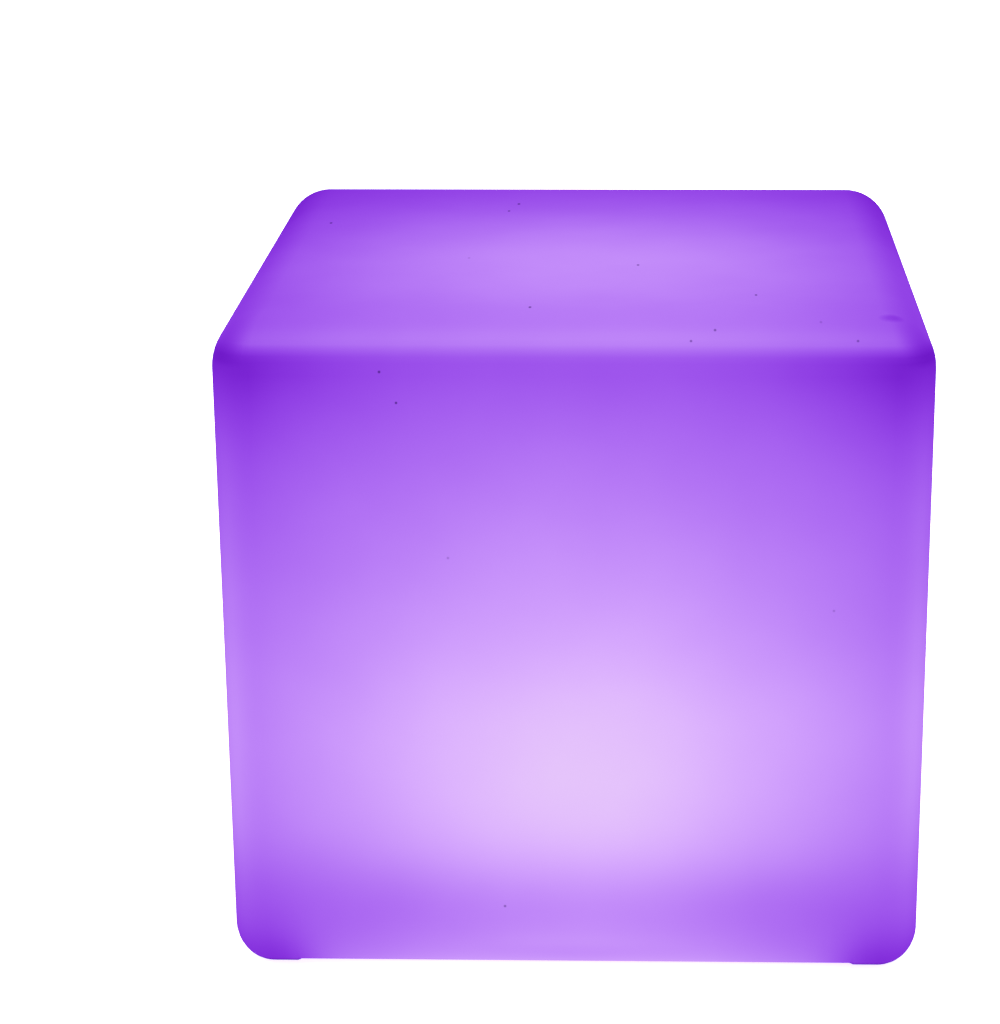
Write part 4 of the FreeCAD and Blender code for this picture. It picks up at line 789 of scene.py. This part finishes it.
def finish(name, tints, rough, grain, relief, stretch=(1, 1, 1), **sockets):
    """A finish from noise at the place on the piece: a coarse cloud mixes the two tints, and a fine
    grain of that many cells a metre sets the roughness between its two ends and raises a relief of
    that many millimetres. The stretch multiplies the number of cells along each axis, so a small
    one draws the grain out that way. What else is named is set on the shader, with _ for a
    space."""
    material, tree, shader = new_material(name)
    spot = add_node(tree, "Mapping", {"Vector": object_place(tree), "Scale": stretch}).outputs[0]
    cloud = add_node(tree, "TexNoise", {"Vector": spot, "Scale": grain / GRAIN_IN_CLOUD,
                                        "Detail": 4})
    fine = add_node(tree, "TexNoise", {"Vector": spot, "Scale": grain, "Detail": 3})
    tint = add_node(tree, "MixRGB", {"Fac": cloud.outputs["Fac"], "Color1": (*tints[0], 1),
                                     "Color2": (*tints[1], 1)})
    bump = add_node(tree, "Bump", {"Height": fine.outputs["Fac"], "Strength": RELIEF_STRENGTH,
                                   "Distance": relief * MM})
    tree.links.new(tint.outputs[0], shader.inputs["Base Color"])
    tree.links.new(between(tree, fine, *rough), shader.inputs["Roughness"])
    tree.links.new(bump.outputs[0], shader.inputs["Normal"])
    for socket, value in sockets.items():
        shader.inputs[socket.replace("_", " ")].default_value = value
    return material


def add_traces(material, colour, scale):
    """Adds a circuit board's copper tracks: the joints of a brick pattern, in a second colour,
    under the lacquer."""
    tree = material.node_tree
    shader = tree.nodes["Principled BSDF"]
    lacquer = shader.inputs["Base Color"].links[0].from_socket
    tracks = add_node(tree, "TexBrick", {"Vector": object_place(tree), "Color1": (0, 0, 0, 1),
                                         "Color2": (0, 0, 0, 1), "Mortar": (1, 1, 1, 1),
                                         "Scale": scale, "Mortar Size": 0.012})
    copper = add_node(tree, "MixRGB", {"Fac": tracks.outputs["Color"], "Color1": lacquer,
                                       "Color2": (*colour, 1)})
    tree.links.new(copper.outputs[0], shader.inputs["Base Color"])
    return material


white_lacquer = finish("white_board_lacquer", ((0.80, 0.82, 0.80), (0.86, 0.87, 0.85)),
                       (0.25, 0.34), 1500, 0.01, Coat_Weight=0.4)
green_lacquer = finish("green_board_lacquer", ((0.012, 0.085, 0.030), (0.018, 0.115, 0.042)),
                       (0.22, 0.30), 1500, 0.01, Coat_Weight=0.5)
print("made", white_lacquer.name, "and", green_lacquer.name)

# %% The finishes and their numbers
FINISHES = {
    "pan_plastic": finish("pale_housing_plastic", ((0.33, 0.33, 0.34), (0.39, 0.39, 0.39)),
                          (0.48, 0.62), 1400, 0.04),
    "inner_plastic": finish("black_moulded_plastic", ((0.012, 0.012, 0.013), (0.020, 0.020, 0.022)),
                            (0.42, 0.55), 1100, 0.03),
    "button_plastic": finish("satin_button_plastic", ((0.028, 0.028, 0.031), (0.038, 0.038, 0.042)),
                             (0.34, 0.42), 1800, 0.015),
    "clear_plastic": finish("clear_polycarbonate", ((0.93, 0.95, 0.97), (0.96, 0.97, 0.98)),
                            (0.03, 0.07), 500, 0.01, Transmission_Weight=0.95, IOR=1.585),
    "seal_rubber": finish("pale_silicone", ((0.30, 0.30, 0.28), (0.36, 0.36, 0.34)), (0.60, 0.75),
                          900, 0.03, Sheen_Weight=0.2),
    "cap_rubber": finish("black_cap_rubber", ((0.010, 0.010, 0.011), (0.018, 0.018, 0.019)),
                         (0.62, 0.78), 1200, 0.04, Sheen_Weight=0.25),
    "screw_steel": finish("zinc_plated_steel", ((0.26, 0.26, 0.27), (0.34, 0.34, 0.34)),
                          (0.24, 0.40), 2600, 0.012, (1, 1, 0.15), Metallic=1.0),
    "insert_brass": finish("turned_brass", ((0.62, 0.43, 0.16), (0.72, 0.52, 0.22)), (0.20, 0.36),
                           2400, 0.012, (0.3, 0.3, 1), Metallic=1.0),
    "socket_plastic": finish("glossy_socket_plastic",
                             ((0.007, 0.007, 0.008), (0.012, 0.012, 0.013)), (0.18, 0.28),
                             1300, 0.012, Coat_Weight=0.3),
    "nickel": finish("nickel_strip", ((0.58, 0.56, 0.51), (0.68, 0.66, 0.61)), (0.22, 0.38), 2000,
                     0.012, (0.15, 1, 1), Metallic=1.0),
    "board_white": add_traces(white_lacquer, (0.66, 0.68, 0.64), 45),
    "board_green": add_traces(green_lacquer, (0.040, 0.200, 0.080), 90),
    "led_package": finish("led_package_gel", ((0.84, 0.80, 0.52), (0.88, 0.86, 0.66)), (0.16, 0.30),
                          2600, 0.01, Coat_Weight=0.6),
    "cell_sleeve": finish("blue_shrink_sleeve", ((0.012, 0.070, 0.330), (0.020, 0.100, 0.420)),
                          (0.16, 0.30), 350, 0.05, (0.25, 1, 1), Coat_Weight=0.5),
    "wire_red": finish("red_wire_insulation", ((0.50, 0.010, 0.008), (0.60, 0.020, 0.014)),
                       (0.38, 0.52), 1500, 0.02),
    "wire_black": finish("black_wire_insulation", ((0.010, 0.010, 0.010), (0.018, 0.018, 0.018)),
                         (0.38, 0.52), 1500, 0.02),
    "wire_grey": finish("grey_ribbon_insulation", ((0.17, 0.17, 0.18), (0.22, 0.22, 0.23)),
                        (0.40, 0.55), 1500, 0.02),
}
print(len(FINISHES), "finishes")

# %% Give each solid its finish
for part in frame["record"]["subparts"]:
    if part["node"] != "shell":
        node = nodes[part["node"]]
        node.data.materials.clear()
        node.data.materials.append(FINISHES[part["material_slot"]])
print(len(nodes) - 1, "nodes dressed")

# %% [markdown]
# ## The surroundings
#
# The photograph shows the lamp on plain white. A white room round it could give that, but a floor
# with a little light of its own does it with one face, and stays as white beside the glowing wall
# as away from it. Only its upper side is there to be seen, so that a look from below still finds
# the light unit.

# %% The floor
FLOOR_HALF = 9
FLOOR_COLOUR, FLOOR_ROUGHNESS, FLOOR_LIGHT = (0.93, 0.93, 0.94, 1), 0.9, 0.8

floor_mesh = bpy.data.meshes.new("floor")
floor_corners = [(x * FLOOR_HALF, y * FLOOR_HALF, 0)
                 for x, y in ((-1, -1), (1, -1), (1, 1), (-1, 1))]
floor_mesh.from_pydata(floor_corners, [], [(0, 1, 2, 3)])
floor = bpy.data.objects.new("floor", floor_mesh)
bpy.context.scene.collection.objects.link(floor)
floor_material, tree, shader = new_material("pale_floor")
shader.inputs["Base Color"].default_value = FLOOR_COLOUR
shader.inputs["Roughness"].default_value = FLOOR_ROUGHNESS
shader.inputs["Specular IOR Level"].default_value = 0.0
shader.inputs["Emission Color"].default_value = (1.0, 1.0, 1.0, 1)
shader.inputs["Emission Strength"].default_value = FLOOR_LIGHT
see_through = add_node(tree, "BsdfTransparent")
lower_side = add_node(tree, "NewGeometry").outputs["Backfacing"]
sided = add_node(tree, "MixShader", {0: lower_side, 1: shader.outputs[0],
                                     2: see_through.outputs[0]})
tree.links.new(sided.outputs[0], tree.nodes["Material Output"].inputs[0])
floor.data.materials.append(floor_material)
print("floor", 2 * FLOOR_HALF, "metres wide")

# %% The light
WORLD_LIGHT, SUN_LIGHT, SUN_WIDTH = 1.0, 2.6, 70

world = bpy.data.worlds.new("studio")
world.use_nodes = True
background = world.node_tree.nodes["Background"]
background.inputs["Color"].default_value = (1, 1, 1, 1)
background.inputs["Strength"].default_value = WORLD_LIGHT
bpy.context.scene.world = world
soft_sun = bpy.data.lights.new("overhead_softbox", "SUN")
soft_sun.energy = SUN_LIGHT
soft_sun.angle = np.radians(SUN_WIDTH)
overhead = bpy.data.objects.new("overhead_softbox", soft_sun)
bpy.context.scene.collection.objects.link(overhead)
bpy.context.scene.view_settings.view_transform = "Standard"
print("one soft light", SUN_WIDTH, "degrees wide, and white surroundings")
